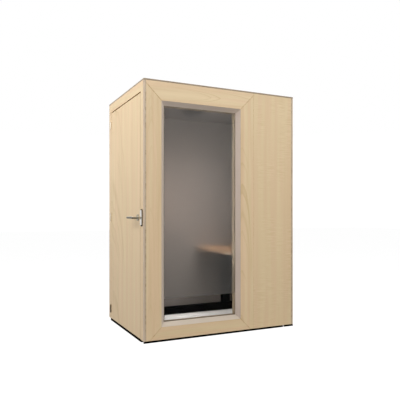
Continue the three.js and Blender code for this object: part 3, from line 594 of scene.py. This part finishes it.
def body_of_node(node):
    return next(body for body, nodes in frame["record"]["behaviour"]["bodies"].items() if node in nodes)


def solid_of_node(node):
    """A CAD node's solid as a bmesh of merged, flat faces."""
    work = bmesh.new()
    work.from_mesh(frame["nodes"][node].data)
    bmesh.ops.remove_doubles(work, verts=work.verts, dist=WELD)
    bmesh.ops.dissolve_limit(work, angle_limit=FLAT_ANGLE, verts=work.verts, edges=work.edges)
    return work


def stand_for(node, work, slot, material, part=None):
    """A finished bmesh that stands for a CAD node, or for one part of it."""
    name = ".".join(filter(None, (node, part, slot)))
    add_piece(name, to_mesh(work, name), body_of_node(node), material, node)


def dress(node, slot, material, ease=BOARD_EASE, segments=2, is_marked=None):
    """A piece that stands for a CAD node: its solid with eased edges and a finish. A test on faces may say
    which of them take the finish's second colour instead of the eased edges."""
    work = solid_of_node(node)
    ease_edges(work, ease, segments)
    if is_marked is not None:
        mark_faces(work, is_marked)
    stand_for(node, work, slot, material)


def close_bar(work, rings, is_loop):
    """Skins rings of vertices into a closed bar, or into a loop."""
    spans = list(zip(rings, rings[1:]))
    if is_loop:
        spans.append((rings[-1], rings[0]))
    else:
        work.faces.new(rings[0])
        work.faces.new(rings[-1])
    for ring, after in spans:
        for i in range(len(ring)):
            work.faces.new((ring[i - 1], ring[i], after[i], after[i - 1]))


def corner_widths(path, depth, is_loop):
    """At each corner of a path in the plane square to depth, the way that a section's width takes there.
    It points inward where the path runs anticlockwise, seen along depth."""
    sides = [(b - a).normalized().cross(depth) for a, b in zip(path, path[1:] + path[:1])]
    if not is_loop:
        sides[-1] = sides[-2]
    widths = []
    for i, side in enumerate(sides):
        before = sides[i - 1] if i or is_loop else side
        mean = (before + side).normalized()
        widths.append(mean / mean.dot(side))
    return widths


def bar_through(stations, section, depth, is_loop):
    """A bar of one section through stations, each a point and the way that the section's width takes there.
    The section's points are inward and deep."""
    work = bmesh.new()
    rings = [[work.verts.new(point + width * inward + depth * deep) for inward, deep in section]
             for point, width in stations]
    close_bar(work, rings, is_loop)
    bmesh.ops.recalc_face_normals(work, faces=work.faces)
    return work


def sweep(path, section, depth, is_loop):
    """A bar of one section along a path with mitred corners."""
    return bar_through(zip(path, corner_widths(path, depth, is_loop)), section, depth, is_loop)


def mitred_strip(path, index, section, depth):
    """The strip on one side of a closed path, cut to the mitres with half a joint to spare."""
    widths = corner_widths(path, depth, True)
    after = (index + 1) % len(path)
    spare = (path[after] - path[index]).normalized() * MITRE_JOINT / 2
    ends = ((path[index] + spare, widths[index]), (path[after] - spare, widths[after]))
    return bar_through(ends, section, depth, False)


def block(width, depth):
    """Section of a plain rectangular strip."""
    return [(0, 0), (width, 0), (width, depth), (0, depth)]


def box_between(low, high):
    work = bmesh.new()
    made = bmesh.ops.create_cube(work, size=1.0)
    size = Vector(high) - Vector(low)
    middle = (Vector(high) + Vector(low)) / 2
    for vert in made["verts"]:
        vert.co = Vector(vert.co[i] * size[i] + middle[i] for i in range(3))
    return work


# Fittings that repeat

def geometry_tree(name, inputs):
    """A geometry tree with its graph, its inputs and its exit, which ends in a plain mesh of one finish."""
    sockets = {"Geometry": GEOMETRY, **{label: FLOAT for label in inputs}, "Finish": MATERIAL}
    return new_group(name, sockets, {"Geometry": GEOMETRY}, "GeometryNodeTree")


def place_on_points(graph, entry, leave, shape):
    """Puts a shape on every point, along the point's own axis."""
    axis = graph.node("GeometryNodeInputNamedAttribute", {"Name": "axis"}, data_type="FLOAT_VECTOR")
    turn = graph.node("FunctionNodeAlignRotationToVector", {"Vector": axis.outputs["Attribute"]}, axis="Z")
    copies = graph.node("GeometryNodeInstanceOnPoints", {
        "Points": entry["Geometry"], "Instance": shape, "Rotation": turn.outputs["Rotation"]})
    real = graph.node("GeometryNodeRealizeInstances", {"Geometry": copies.outputs["Instances"]})
    finished = graph.node(
        "GeometryNodeSetMaterial", {"Geometry": real.outputs["Geometry"], "Material": entry["Finish"]})
    graph.feed(leave["Geometry"], finished.outputs["Geometry"])


def raised(graph, mesh, height):
    """A primitive, which lies about the origin, moved up by a height."""
    moved = graph.node("GeometryNodeTransform", {"Geometry": mesh, "Translation": graph.vector(Z=height)})
    return moved.outputs["Geometry"]


def socket_screw_tree():
    """A low domed head with a hexagon socket, on a point at the seat of the head."""
    graph, entry, leave = geometry_tree("socket_screw", ("Head Radius", "Head Height", "Socket Radius"))
    head = graph.node("GeometryNodeMeshCone", {
        "Vertices": HEAD_SIDES, "Radius Top": graph.times(entry["Head Radius"], HEAD_TAPER),
        "Radius Bottom": entry["Head Radius"], "Depth": entry["Head Height"]})
    socket = graph.node("GeometryNodeMeshCylinder", {
        "Vertices": HEXAGON, "Radius": entry["Socket Radius"], "Depth": entry["Head Height"]})
    sunk = raised(graph, socket.outputs["Mesh"], graph.times(entry["Head Height"], SOCKET_LIFT))
    seated = raised(graph, sunk, entry["Head Height"])
    whole = raised(graph, head.outputs["Mesh"], entry["Head Height"])
    hollow = graph.node(
        "GeometryNodeMeshBoolean", {"Mesh 1": whole, "Mesh 2": seated}, operation="DIFFERENCE")
    place_on_points(graph, entry, leave, hollow.outputs["Mesh"])
    return graph.tree


def levelling_foot_tree():
    """A round pad with a hexagon nut above it, on a point at the middle of its underside."""
    graph, entry, leave = geometry_tree("levelling_foot", ("Pad Radius", "Pad Height", "Nut Height"))
    pad = graph.node("GeometryNodeMeshCone", {
        "Vertices": PAD_SIDES, "Radius Top": graph.times(entry["Pad Radius"], PAD_TAPER),
        "Radius Bottom": entry["Pad Radius"], "Depth": entry["Pad Height"]})
    nut = graph.node("GeometryNodeMeshCylinder", {
        "Vertices": HEXAGON, "Radius": graph.times(entry["Pad Radius"], NUT_SHARE),
        "Depth": entry["Nut Height"]})
    high = raised(graph, nut.outputs["Mesh"], entry["Pad Height"])
    both = graph.node("GeometryNodeJoinGeometry")
    for part in (pad.outputs["Mesh"], high):
        graph.feed(both.inputs["Geometry"], part)
    place_on_points(graph, entry, leave, both.outputs["Geometry"])
    return graph.tree


def grow(name, tree, sizes, places, body, material):
    """Grows a tree's shapes on places, each a point and an axis, into one plain mesh."""
    mesh = bpy.data.meshes.new(name)
    mesh.from_pydata([point for point, axis in places], [], [])
    directions = mesh.attributes.new("axis", "FLOAT_VECTOR", "POINT")
    for entry, (point, axis) in zip(directions.data, places):
        entry.vector = axis
    holder = new_object(name, mesh)
    modifier = holder.modifiers.new("grow", "NODES")
    modifier.node_group = tree
    inputs = [item for item in tree.interface.items_tree if item.in_out == "INPUT"]
    for item, value in zip(inputs[1:], (*sizes, material)):
        modifier[item.identifier] = value
    evaluated = holder.evaluated_get(bpy.context.evaluated_depsgraph_get())
    grown = bpy.data.meshes.new_from_object(evaluated)
    bpy.data.objects.remove(holder)
    bpy.data.meshes.remove(mesh)
    work = bmesh.new()
    work.from_mesh(grown)
    bpy.data.meshes.remove(grown)
    add_piece(name, to_mesh(work, name), body, material)


SCREW = socket_screw_tree()
FOOT = levelling_foot_tree()


# Walls, boards and floor

def is_mitre(edge):
    """Whether an edge runs on the slant across the front."""
    run = (edge.verts[1].co - edge.verts[0].co).normalized()
    return abs(run.x) > MITRE_SLANT and abs(run.z) > MITRE_SLANT


def is_beside_post(edge):
    """Whether an upright edge lies in the open against the post by the door's lock side."""
    foot, head = (vert.co for vert in edge.verts)
    low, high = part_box("post_front_left")
    gap = max(max(low[i] - foot[i], foot[i] - high[i]) for i in range(2))
    in_open = foot.y < low.y + MM or foot.x < low.x + MM
    return (foot - head).xy.length < WELD and gap < MM and in_open


def dress_board(node, material):
    """A veneered board with painted shade underneath and on its edge beside the front post. Its joints are
    eased more than other edges, so that they show.
    """
    work = solid_of_node(node)
    mark = edge_mark(work)
    # The edge beside the front post is marked extra dark as painted shade in the joint
    for is_joint, ease, shade in ((is_mitre, MITRE_EASE, 1.0), (is_beside_post, POST_EASE, POST_SHADE)):
        round_edges(work, [edge for edge in work.edges if is_joint(edge)], ease, shade=shade)
    ease_edges(work, BOARD_EASE)
    # Painted shade: faces that look down take the board's darker marked colour
    for face in work.faces:
        if face.normal.z < -LOOKS_ALONG:
            face[mark] = 1.0
    stand_for(node, work, "veneer", material)


def dress_boards():
    boards = {
        "front_stile_left": veneer(
            "veneer_stile_left", "X", "Z", 3.0, streaks=1.2, crown=-0.69, spread=0.1, rise=0.5, arches=0.22),
        "front_stile_right": veneer(
            "veneer_stile_right", "X", "Z", 8.0, crown=0.185, spread=0.15, rise=0.45, arches=0.55),
        "front_rail_top": veneer(
            "veneer_rail_top", "Z", "X", 13.0, "f0dcb8", "efd2b2", streaks=0.7,
            crown=2.1, spread=0.09, rise=0.35, arches=0.45),
        "front_rail_bottom": veneer("veneer_rail_bottom", "Z", "X", 17.0, streaks=0.8),
        "front_side_panel": veneer(
            "veneer_side_panel", "X", "Z", 23.0, rosy="e7ccab", streaks=0.33, ripple=1.2),
        "right_panel": veneer(
            "veneer_right", "Y", "Z", 29.0, crown=0.1, rise=0.7, arches=0.3, ripple=0.3),
        "rear_panel": veneer(
            "veneer_rear", "X", "Z", 31.0, crown=-0.2, rise=0.7, arches=0.3, ripple=0.3),
        "jamb_front": veneer("veneer_jamb_front", "Y", "Z", 37.0),
        "jamb_rear": veneer("veneer_jamb_rear", "Y", "Z", 41.0),
        "door_header": veneer("veneer_header", "Z", "Y", 43.0),
        "door_outer_skin": veneer(
            "veneer_door", "Y", "Z", 47.0, crown=0.47, spread=0.8, rise=0.95, arches=0.42),
    }
    for node, material in boards.items():
        dress_board(node, material)
    dress("door_core", "core_wood", FINISH["core_wood"])
    for node in ("front_lining", "right_lining", "rear_lining", "door_inner_skin"):
        dress(node, "felt", FINISH["felt_wall"], PANEL_EASE)
    dress("ceiling_lining", "felt", FINISH["felt_ceiling"], PANEL_EASE)
    dress("floor_mat", "pale_floor", FINISH["pale_floor"])
    for node in ("base_plate", "cable_trunk"):
        dress(node, "black_board", FINISH["black_board"])
    for node in ("roof_panel", "skirting_right"):
        dress(node, "black_board", FINISH["roof_board"])


def add_feet():
    """Levelling feet in the base: two in the recesses at the door side's corners and one at the front."""
    low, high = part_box("base_plate")
    across, along = CORNER_RECESS
    corners = [(low.x + across / 2, y) for y in (low.y + along / 2, high.y - along / 2)]
    inset_x, inset_y = FRONT_FOOT_INSET
    front = [(high.x - inset_x, low.y + inset_y)]
    feet = (("levelling_feet", CORNER_FOOT, corners), ("front_levelling_foot", FRONT_FOOT, front))
    for name, sizes, spots in feet:
        places = [((x, y, PLAY), UP) for x, y in spots]
        grow(name, FOOT, sizes, places, "shell", FINISH["foot_steel"])


# Trim and window

def ring_path(low, high, level, plane):
    """Corners of a rectangle, anticlockwise as seen along depth. Plane is front or top."""
    corners = [(low[0], low[1]), (high[0], low[1]), (high[0], high[1]), (low[0], high[1])]
    if plane == "front":
        return [Vector((a, level, b)) for a, b in corners]
    return [Vector((a, b, level)) for a, b in corners]


def dress_trim():
    for corner in ("front_left", "front_right", "rear_left", "rear_right"):
        dress_post(f"post_{corner}")
    for side in ("left", "right", "top", "bottom"):
        dress_bevel(side)
    dress_top_trim()


def dress_post(node):
    """A corner post with a painted shadow line down the inner side of its face."""
    work = solid_of_node(node)
    low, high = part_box(node)
    inner = high.x if high.x < 0 else low.x
    start = inner + math.copysign(POST_SHADOW_LINE, inner)
    everything = [*work.verts, *work.edges, *work.faces]
    bmesh.ops.bisect_plane(work, geom=everything, plane_co=(start, 0, 0), plane_no=(1, 0, 0))

    def is_shadow_line(face):
        return abs(face.normal.y) > LOOKS_ALONG and abs(face.calc_center_median().x - inner) < POST_SHADOW_LINE

    ease_edges(work, TRIM_EASE)
    mark_faces(work, is_shadow_line)
    stand_for(node, work, "champagne_trim", FINISH["trim_post"])


def open_out(vert, axes):
    """Moves a vertex away from the middle of the window along some axes."""
    low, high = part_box("window_glass")
    for i in axes:
        vert.co[i] += math.copysign(SIGHT_TRIM, vert.co[i] - (low[i] + high[i]) / 2)


def dress_bevel(side):
    """A strip of the window frame, whose inner edge lies at the sight line."""
    node = f"bevel_{side}"
    work = solid_of_node(node)
    low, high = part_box(node)
    axis = 0 if side in ("left", "right") else 2
    inner = high[axis] if side in ("left", "bottom") else low[axis]
    for vert in work.verts:
        if abs(vert.co[axis] - inner) < MM:
            open_out(vert, (0, 2))
    ease_edges(work, TRIM_EASE)
    # Each strip takes its own copy of the trim, with painted light and shade
    stand_for(node, work, "champagne_trim", FINISH[f"trim_{side}"])


def dress_top_trim():
    """Four mitred strips round the top, in a darker copy of the trim finish as painted dark reflection."""
    low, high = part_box("top_trim")
    post_low, post_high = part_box("post_front_left")
    section = block(post_high.x - post_low.x, high.z - low.z)
    path = ring_path(low, high, high.z, "top")
    brushes = {"front": BRUSH_ACROSS, "right": BRUSH_DEEP, "rear": BRUSH_ACROSS, "left": BRUSH_DEEP}
    for index, (side, brush) in enumerate(brushes.items()):
        work = mitred_strip(path, index, section, DOWN)
        ease_edges(work, TRIM_EASE)
        # Darker than the other trim: painted dark reflection
        finish = champagne(f"cap_{side}", brush, "9c8b75", "ad9d88", metallic=0.6)
        stand_for("top_trim", work, "champagne_trim", finish, side)


def dress_window():
    dress("window_glass", "tinted_glass", FINISH["tinted_glass"], METAL_EASE)
    dress_film()
    trim = Vector((SIGHT_TRIM, SIGHT_TRIM))
    sight_low = Vector((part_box("bevel_left")[1].x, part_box("bevel_bottom")[1].z)) - trim
    sight_high = Vector((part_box("bevel_right")[0].x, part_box("bevel_top")[0].z)) + trim
    add_gasket(sight_low, sight_high)
    dress_reveal(sight_low)


def dress_film():
    """The film, cut to the sight line at its sides."""
    work = solid_of_node("privacy_film")
    for vert in work.verts:
        open_out(vert, (0,))
    ease_edges(work, FILM_EASE, segments=1)
    stand_for("privacy_film", work, "frosted_film", FINISH["frosted_film"])


def add_gasket(sight_low, sight_high):
    """A sloped bead on the pane, along the sight line."""
    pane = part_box("window_glass")[0].y
    bead = [(PLAY, -PLAY / 3), (PLAY, -GASKET_HEIGHT), (GASKET_WIDTH / 3, -GASKET_HEIGHT),
            (GASKET_WIDTH, -GASKET_HEIGHT / 3), (GASKET_WIDTH, -PLAY / 3)]
    work = sweep(ring_path(sight_low, sight_high, pane, "front"), bead, BACK, True)
    ease_edges(work, SHEET_EASE)
    add_piece("window_gasket", to_mesh(work, "window_gasket"), "shell", FINISH["gasket"])


def dress_reveal(sight_low):
    """Four mitred wooden strips behind the pane, as wide as the sight line allows."""
    low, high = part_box("window_reveal")
    section = block(sight_low.x - low.x, high.y - low.y - REVEAL_TRIM)
    path = ring_path((low.x, low.z), (high.x, high.z), low.y, "front")
    grains = {"bottom": ("Z", "X"), "right": ("X", "Z"), "top": ("Z", "X"), "left": ("X", "Z")}
    for index, (side, (across, along)) in enumerate(grains.items()):
        work = mitred_strip(path, index, section, BACK)
        ease_edges(work, BOARD_EASE)
        material = wood(f"reveal_{side}", across, along, 53.0 + index, "cbbda6", "b09c7f", "c8b69d")
        stand_for("window_reveal", work, "reveal_wood", material, side)


# Door hardware

def dress_hardware():
    for level in HINGE_LEVELS:
        # The low hinge takes the dark copy of the hinge finish as painted shade
        finish = FINISH["shaded_hinge" if level == "low" else "hinge_steel"]
        for part in ("frame_leaf", "door_leaf"):
            dress(f"hinge_{level}_{part}", "satin_steel", finish, SHEET_EASE)
        dress(f"hinge_{level}_pin", "satin_steel", finish, METAL_EASE)
    for node in ("lock_case", "latch_bolt", "spindle"):
        dress(node, "satin_steel", FINISH["satin_steel"], METAL_EASE)
    for node in ("rose_outer", "rose_inner"):
        dress(node, "satin_steel", FINISH["rose_steel"], METAL_EASE)
    for node in ("lever_outer", "lever_inner"):
        dress(node, "satin_steel", FINISH["lever_steel"], METAL_EASE, is_marked=is_lever_highlight)
    dress_keep()
    dress("drop_seal", "rubber", FINISH["rubber"], METAL_EASE)
    dress_door_seal()
    add_leaf_screws()
    add_faceplate_screws()


def is_lever_highlight(face):
    """Whether a face is on the upper side of a lever, which takes a painted highlight; its other sides are
    dark and brushed.
    """
    return face.normal.z > LEVER_HIGHLIGHT


def dress_keep():
    """A black base as painted shade round a bright cap on it, and a dark screw in the middle."""
    low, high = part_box("keep_plate")
    seam = high.x - KEEP_BASE_SHARE * (high.x - low.x)
    base = keep_layer((seam, low.y, low.z), high)
    # The black base stands for the shade round the cap: painted shade
    stand_for("keep_plate", base, "black_plastic", FINISH["black_board"], "base")
    cap = keep_layer(
        (low.x, low.y + KEEP_SIDE_MARGIN, low.z + KEEP_END_MARGIN),
        (seam, high.y - KEEP_SIDE_MARGIN, high.z - KEEP_END_MARGIN))
    stand_for("keep_plate", cap, "satin_steel", FINISH["satin_steel"], "cap")
    middle = (low + high) / 2
    grow("keep_screw", SCREW, PLATE_SCREW, [((low.x, middle.y, middle.z), LEFT)], "shell",
         FINISH["black_steel"])


def keep_layer(low, high):
    """One layer of the keep plate, with rounded corners."""
    work = box_between(low, high)
    corners = [e for e in work.edges if abs((e.verts[0].co - e.verts[1].co).x) > WELD]
    bmesh.ops.bevel(
        work, geom=corners, offset=KEEP_END_MARGIN, segments=KEEP_CORNER_STEPS, profile=0.5, affect="EDGES")
    ease_edges(work, SHEET_EASE)
    return work


def dress_door_seal():
    """A ribbed rubber strip up both jambs and across the head of the door opening."""
    low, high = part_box("door_seal")
    thickness = high.x - low.x
    path = [Vector((high.x, y, z)) for y, z in (
        (high.y, low.z), (high.y, high.z), (low.y, high.z), (low.y, low.z))]
    steps = SEAL_RIBS * SEAL_RIB_STEPS
    ribs = []
    for step in range(steps + 1):
        wave = abs(math.sin(math.pi * SEAL_RIBS * step / steps))
        height = SEAL_FLOOR_SHARE + (1 - SEAL_FLOOR_SHARE) * wave
        ribs.append((SEAL_WIDTH * step / steps, thickness * height))
    section = [(0, 0), *ribs, (SEAL_WIDTH, 0)]
    work = sweep(path, section, LEFT, False)
    edge_mark(work)
    stand_for("door_seal", work, "rubber", FINISH["rubber"])


def add_leaf_screws():
    """Flush screws in both leaves of each hinge."""
    for part, axis, body in (("door_leaf", BACK, "door"), ("frame_leaf", FORWARD, "shell")):
        places = []
        for level in HINGE_LEVELS:
            low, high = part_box(f"hinge_{level}_{part}")
            face = leaf_face(f"hinge_{level}_{part}", axis)
            across = low.x + LEAF_SCREW_LINE * (high.x - low.x)
            for step in range(LEAF_SCREWS):
                height = low.z + (step + 0.5) * (high.z - low.z) / LEAF_SCREWS
                shift = (step % 2 - 0.5) * LEAF_SCREW_STAGGER
                places.append(((across + shift, face, height), axis))
        grow(f"{part}_screws", SCREW, LEAF_SCREW, places, body, FINISH["satin_steel"])


def leaf_face(node, axis):
    """The level of a hinge leaf's flat face, found from the faces that look along the axis."""
    work = solid_of_node(node)
    faces = [f for f in work.faces if f.normal.dot(axis) > LOOKS_ALONG]
    level = max(faces, key=lambda f: f.calc_area()).calc_center_median().y
    work.free()
    return level


def add_faceplate_screws():
    """Two screws in the faceplate of the lock, above and below the bolt."""
    low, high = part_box("lock_case")
    middle = (low + high) / 2
    places = [((middle.x, low.y, middle.z + reach), FORWARD)
              for reach in (-FACEPLATE_SCREW_REACH, FACEPLATE_SCREW_REACH)]
    grow("faceplate_screws", SCREW, PLATE_SCREW, places, "door", FINISH["satin_steel"])


# Ventilation and desk

def dress_cabin():
    for node in ("fan_housing", "fan_rotor", "roof_vent_cover"):
        dress(node, "black_plastic", FINISH["black_plastic"], METAL_EASE)
    dress("desk_column", "black_plastic", FINISH["black_board"], METAL_EASE)
    # The diffuser's side is painted darker: painted shade
    dress("ceiling_diffuser", "black_plastic", FINISH["grey_plastic"], METAL_EASE,
          is_marked=is_side(DISC_SHADED_SIDE))
    dress("desk_bracket", "black_steel", FINISH["black_steel"], METAL_EASE)
    desk = wood("desk_wood", "X", "Y", 61.0, "cda57d", "ab815b", "cfa178", gloss=0.42, edging="e0cdb8")
    dress("desk_top", "desk_wood", desk, DESK_EASE, segments=3, is_marked=is_side(DESK_SIDE))


def is_side(limit):
    """A test for the faces on the rim of a flat piece, which take a second colour: painted shade on the
    diffuser, a real edging on the desk.
    """
    return lambda face: abs(face.normal.z) < limit


def add_vent_screws():
    """Screws round the rim of the vent cover on the roof."""
    low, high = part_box("roof_vent_cover")
    middle = (low + high) / 2
    radius = (high.x - low.x) / 2 - VENT_RIM / 2
    places = []
    for index in range(VENT_SCREWS):
        angle = 2 * math.pi * (index + 0.5) / VENT_SCREWS
        spot = (middle.x + radius * math.cos(angle), middle.y + radius * math.sin(angle), high.z)
        places.append((spot, UP))
    grow("vent_screws", SCREW, VENT_SCREW, places, "shell", FINISH["black_steel"])


dress_boards()
add_feet()
dress_trim()
dress_window()
dress_hardware()
dress_cabin()
add_vent_screws()


# Studio

# Floor: how it is seen, how it lights, and its painted contact shadow close to the pod
FLOOR_SIZE = 60.0
FLOOR_SEEN = 0.3
FLOOR_GLOW = 0.9
FLOOR_BOUNCE = 0.42
CONTACT_REACH = 10 * MM
CONTACT_OPEN = 0.5

# Light of the sky straight above and at its lowest, and the dip below the horizon down to which it grows
SKY_TOP = 0.0
SKY_LOW = 1.28
SKY_DIP = -0.2

# Dark cards: their grey, and where their sides, top, near edge and far edge lie
FLAG_GREY = 0.02
FLAG_LEFT = -0.9
FLAG_RIGHT = 6.0
FLAG_TOP = 4.0
FLAG_NEAR = -0.75
FLAG_FAR = -4.2

# Colours of light
WHITE = (1.0, 1.0, 1.0)
WARM = (1.0, 0.6, 0.42)

# Lamps as name, place, target, width, height and watts, and where they have one a spread in degrees, a colour
STUDIO_LAMPS = (
    ("front_softbox", (0.45, -4.5, 3.25), (0.1, -0.54, 1.35), 6.0, 1.5, 109.0),
    ("left_softbox", (-3.2, 0.0, 4.2), (-0.76, 0.0, 1.5), 4.0, 1.2, 82.0),
    ("left_fill", (-4.0, 0.0, 2.6), (-0.76, 0.0, 1.9), 3.0, 1.2, 4.3, 60.0),
)
# A soft glow on the back wall, and a little light on the desk, the window and the foot of the cabin
CABIN_LAMPS = (
    ("wall_glow", (0.1, -0.43, 1.27), (0.1, 0.44, 1.27), 0.3, 0.5, 7.5),
    ("wall_spot", (-0.24, -0.43, 1.28), (-0.24, 0.44, 1.25), 0.25, 0.4, 0.7, 105.0, WARM),
    ("desk_spot", (0.18, 0.22, 1.15), (0.18, 0.22, 0.7), 0.5, 0.36, 0.58, 60.0),
    ("reveal_strip", (-0.53, -0.465, 1.3), (0.13, -0.465, 1.32), 0.03, 1.45, 0.52, 30.0),
    ("bevel_wash", (-0.55, -0.525, 0.3), (0.15, -0.525, 0.3), 0.02, 0.4, 0.1, 40.0),
    ("floor_wash", (0.16, 0.18, 0.32), (0.16, 0.18, 0.0), 0.96, 0.3, 0.6, 40.0),
    ("skirting_wash", (0.05, -0.2, 0.14), (0.05, 0.44, 0.13), 1.0, 0.04, 0.04, 16.0),
)


def seen_directly(graph):
    """One for rays that show the background: to the camera, in metal and through glass."""
    path = graph.node("ShaderNodeLightPath").outputs
    shown = graph.math("MAXIMUM", path["Is Camera Ray"], path["Is Glossy Ray"])
    return graph.math("MAXIMUM", shown, path["Is Transmission Ray"])


def studio_world():
    """White to look at. As a light it is bright at the horizon and fades upwards."""
    world = bpy.data.worlds.new("studio")
    world.use_nodes = True
    bpy.context.scene.world = world
    graph = Graph(world.node_tree)
    background = world.node_tree.nodes["Background"]
    ray = graph.node("ShaderNodeTexCoord").outputs["Generated"]
    light = graph.ramp(graph.parts(ray)["Z"], SKY_DIP, 1.0, SKY_LOW, SKY_TOP)
    graph.feed_all(background.inputs, {
        "Color": (*WHITE, 1.0), "Strength": graph.math("MAXIMUM", seen_directly(graph), light)})


def hide_from(thing, *rays):
    """Leaves a card or a lamp out of what some kinds of rays meet."""
    for kind in rays:
        setattr(thing, f"visible_{kind}", False)


def studio_card(name, corners, material):
    """A flat card with four corners, which belongs to the studio and not to the pod."""
    mesh = bpy.data.meshes.new(name)
    mesh.from_pydata(corners, [], [(0, 1, 2, 3)])
    mesh.materials.append(material)
    card = new_object(name, mesh)
    return card


def stage_material(name):
    """A material of the studio, with its graph and the socket that its shader feeds."""
    material = bpy.data.materials.new(name)
    material.use_nodes = True
    material.node_tree.nodes.remove(material.node_tree.nodes["Principled BSDF"])
    return material, Graph(material.node_tree), material.node_tree.nodes["Material Output"].inputs["Surface"]


def grey(value):
    return (value, value, value, 1.0)


def studio_floor():
    """A white floor that keeps the pod's soft shadow, with a painted contact shadow from ambient occlusion
    close to its foot.
    """
    material, graph, surface = stage_material("studio_floor")
    bounce = graph.node("ShaderNodeBsdfDiffuse", {"Color": grey(FLOOR_BOUNCE)})
    # Painted contact shadow: ambient occlusion darkens the floor's colour and glow near the pod
    openness = graph.node("ShaderNodeAmbientOcclusion", {"Distance": CONTACT_REACH}).outputs["AO"]
    away = graph.ramp(openness, CONTACT_OPEN, 1.0)
    shade = graph.blend(away, grey(0.0), grey(FLOOR_SEEN))
    lit = graph.node("ShaderNodeBsdfDiffuse", {"Color": shade})
    glow = graph.node("ShaderNodeEmission", {"Strength": graph.times(away, FLOOR_GLOW)})
    seen = graph.node("ShaderNodeAddShader", {0: lit.outputs[0], 1: glow.outputs[0]})
    mixed = graph.node(
        "ShaderNodeMixShader", {0: seen_directly(graph), 1: bounce.outputs[0], 2: seen.outputs[0]})
    graph.feed(surface, mixed.outputs[0])
    half = FLOOR_SIZE / 2
    corners = [(-half, -half, 0), (half, -half, 0), (half, half, 0), (-half, half, 0)]
    studio_card("studio_floor", corners, material)


def studio_flags():
    """Dark cards that only reflections see: they keep the pane clear and draw the front metal darker."""
    material, graph, surface = stage_material("studio_flag")
    graph.feed(surface, graph.node("ShaderNodeBsdfDiffuse", {"Color": grey(FLAG_GREY)}).outputs[0])
    sides = (FLAG_LEFT, FLAG_RIGHT)
    upright = [(x, FLAG_FAR, 0) for x in sides] + [(x, FLAG_FAR, FLAG_TOP) for x in reversed(sides)]
    level = [(x, FLAG_FAR, MM) for x in sides] + [(x, FLAG_NEAR, MM) for x in reversed(sides)]
    for name, corners in (("studio_flag", upright), ("studio_floor_flag", level)):
        card = studio_card(name, corners, material)
        hide_from(card, "camera", "diffuse", "transmission", "volume_scatter", "shadow")


def area_lamp(name, place, target, width, height, watts, spread=180.0, colour=WHITE):
    """A rectangular lamp that shines from its place towards a target."""
    lamp = bpy.data.lights.new(name, "AREA")
    lamp.shape = "RECTANGLE"
    lamp.size = width
    lamp.size_y = height
    lamp.energy = watts
    lamp.color = colour
    lamp.spread = math.radians(spread)
    holder = new_object(name, lamp)
    holder.location = place
    holder.rotation_euler = (Vector(target) - Vector(place)).to_track_quat("-Z", "Y").to_euler()
    hide_from(holder, "camera", "transmission")
    return holder


def studio_lamps():
    """All lamps. Those in the cabin show in no reflection."""
    for lamp in STUDIO_LAMPS:
        area_lamp(*lamp)
    for lamp in CABIN_LAMPS:
        hide_from(area_lamp(*lamp), "glossy")


def studio_camera():
    camera = bpy.data.cameras.new("camera")
    camera.lens = CAMERA_LENS
    camera.sensor_width = CAMERA_SENSOR
    camera.shift_y = CAMERA_SHIFT
    holder = new_object("camera", camera)
    holder.location = CAMERA_PLACE
    holder.rotation_euler = (math.radians(90), 0.0, CAMERA_YAW)
    bpy.context.scene.camera = holder


studio_world()
studio_floor()
studio_flags()
studio_lamps()
studio_camera()
bpy.context.scene.view_settings.view_transform = "Standard"
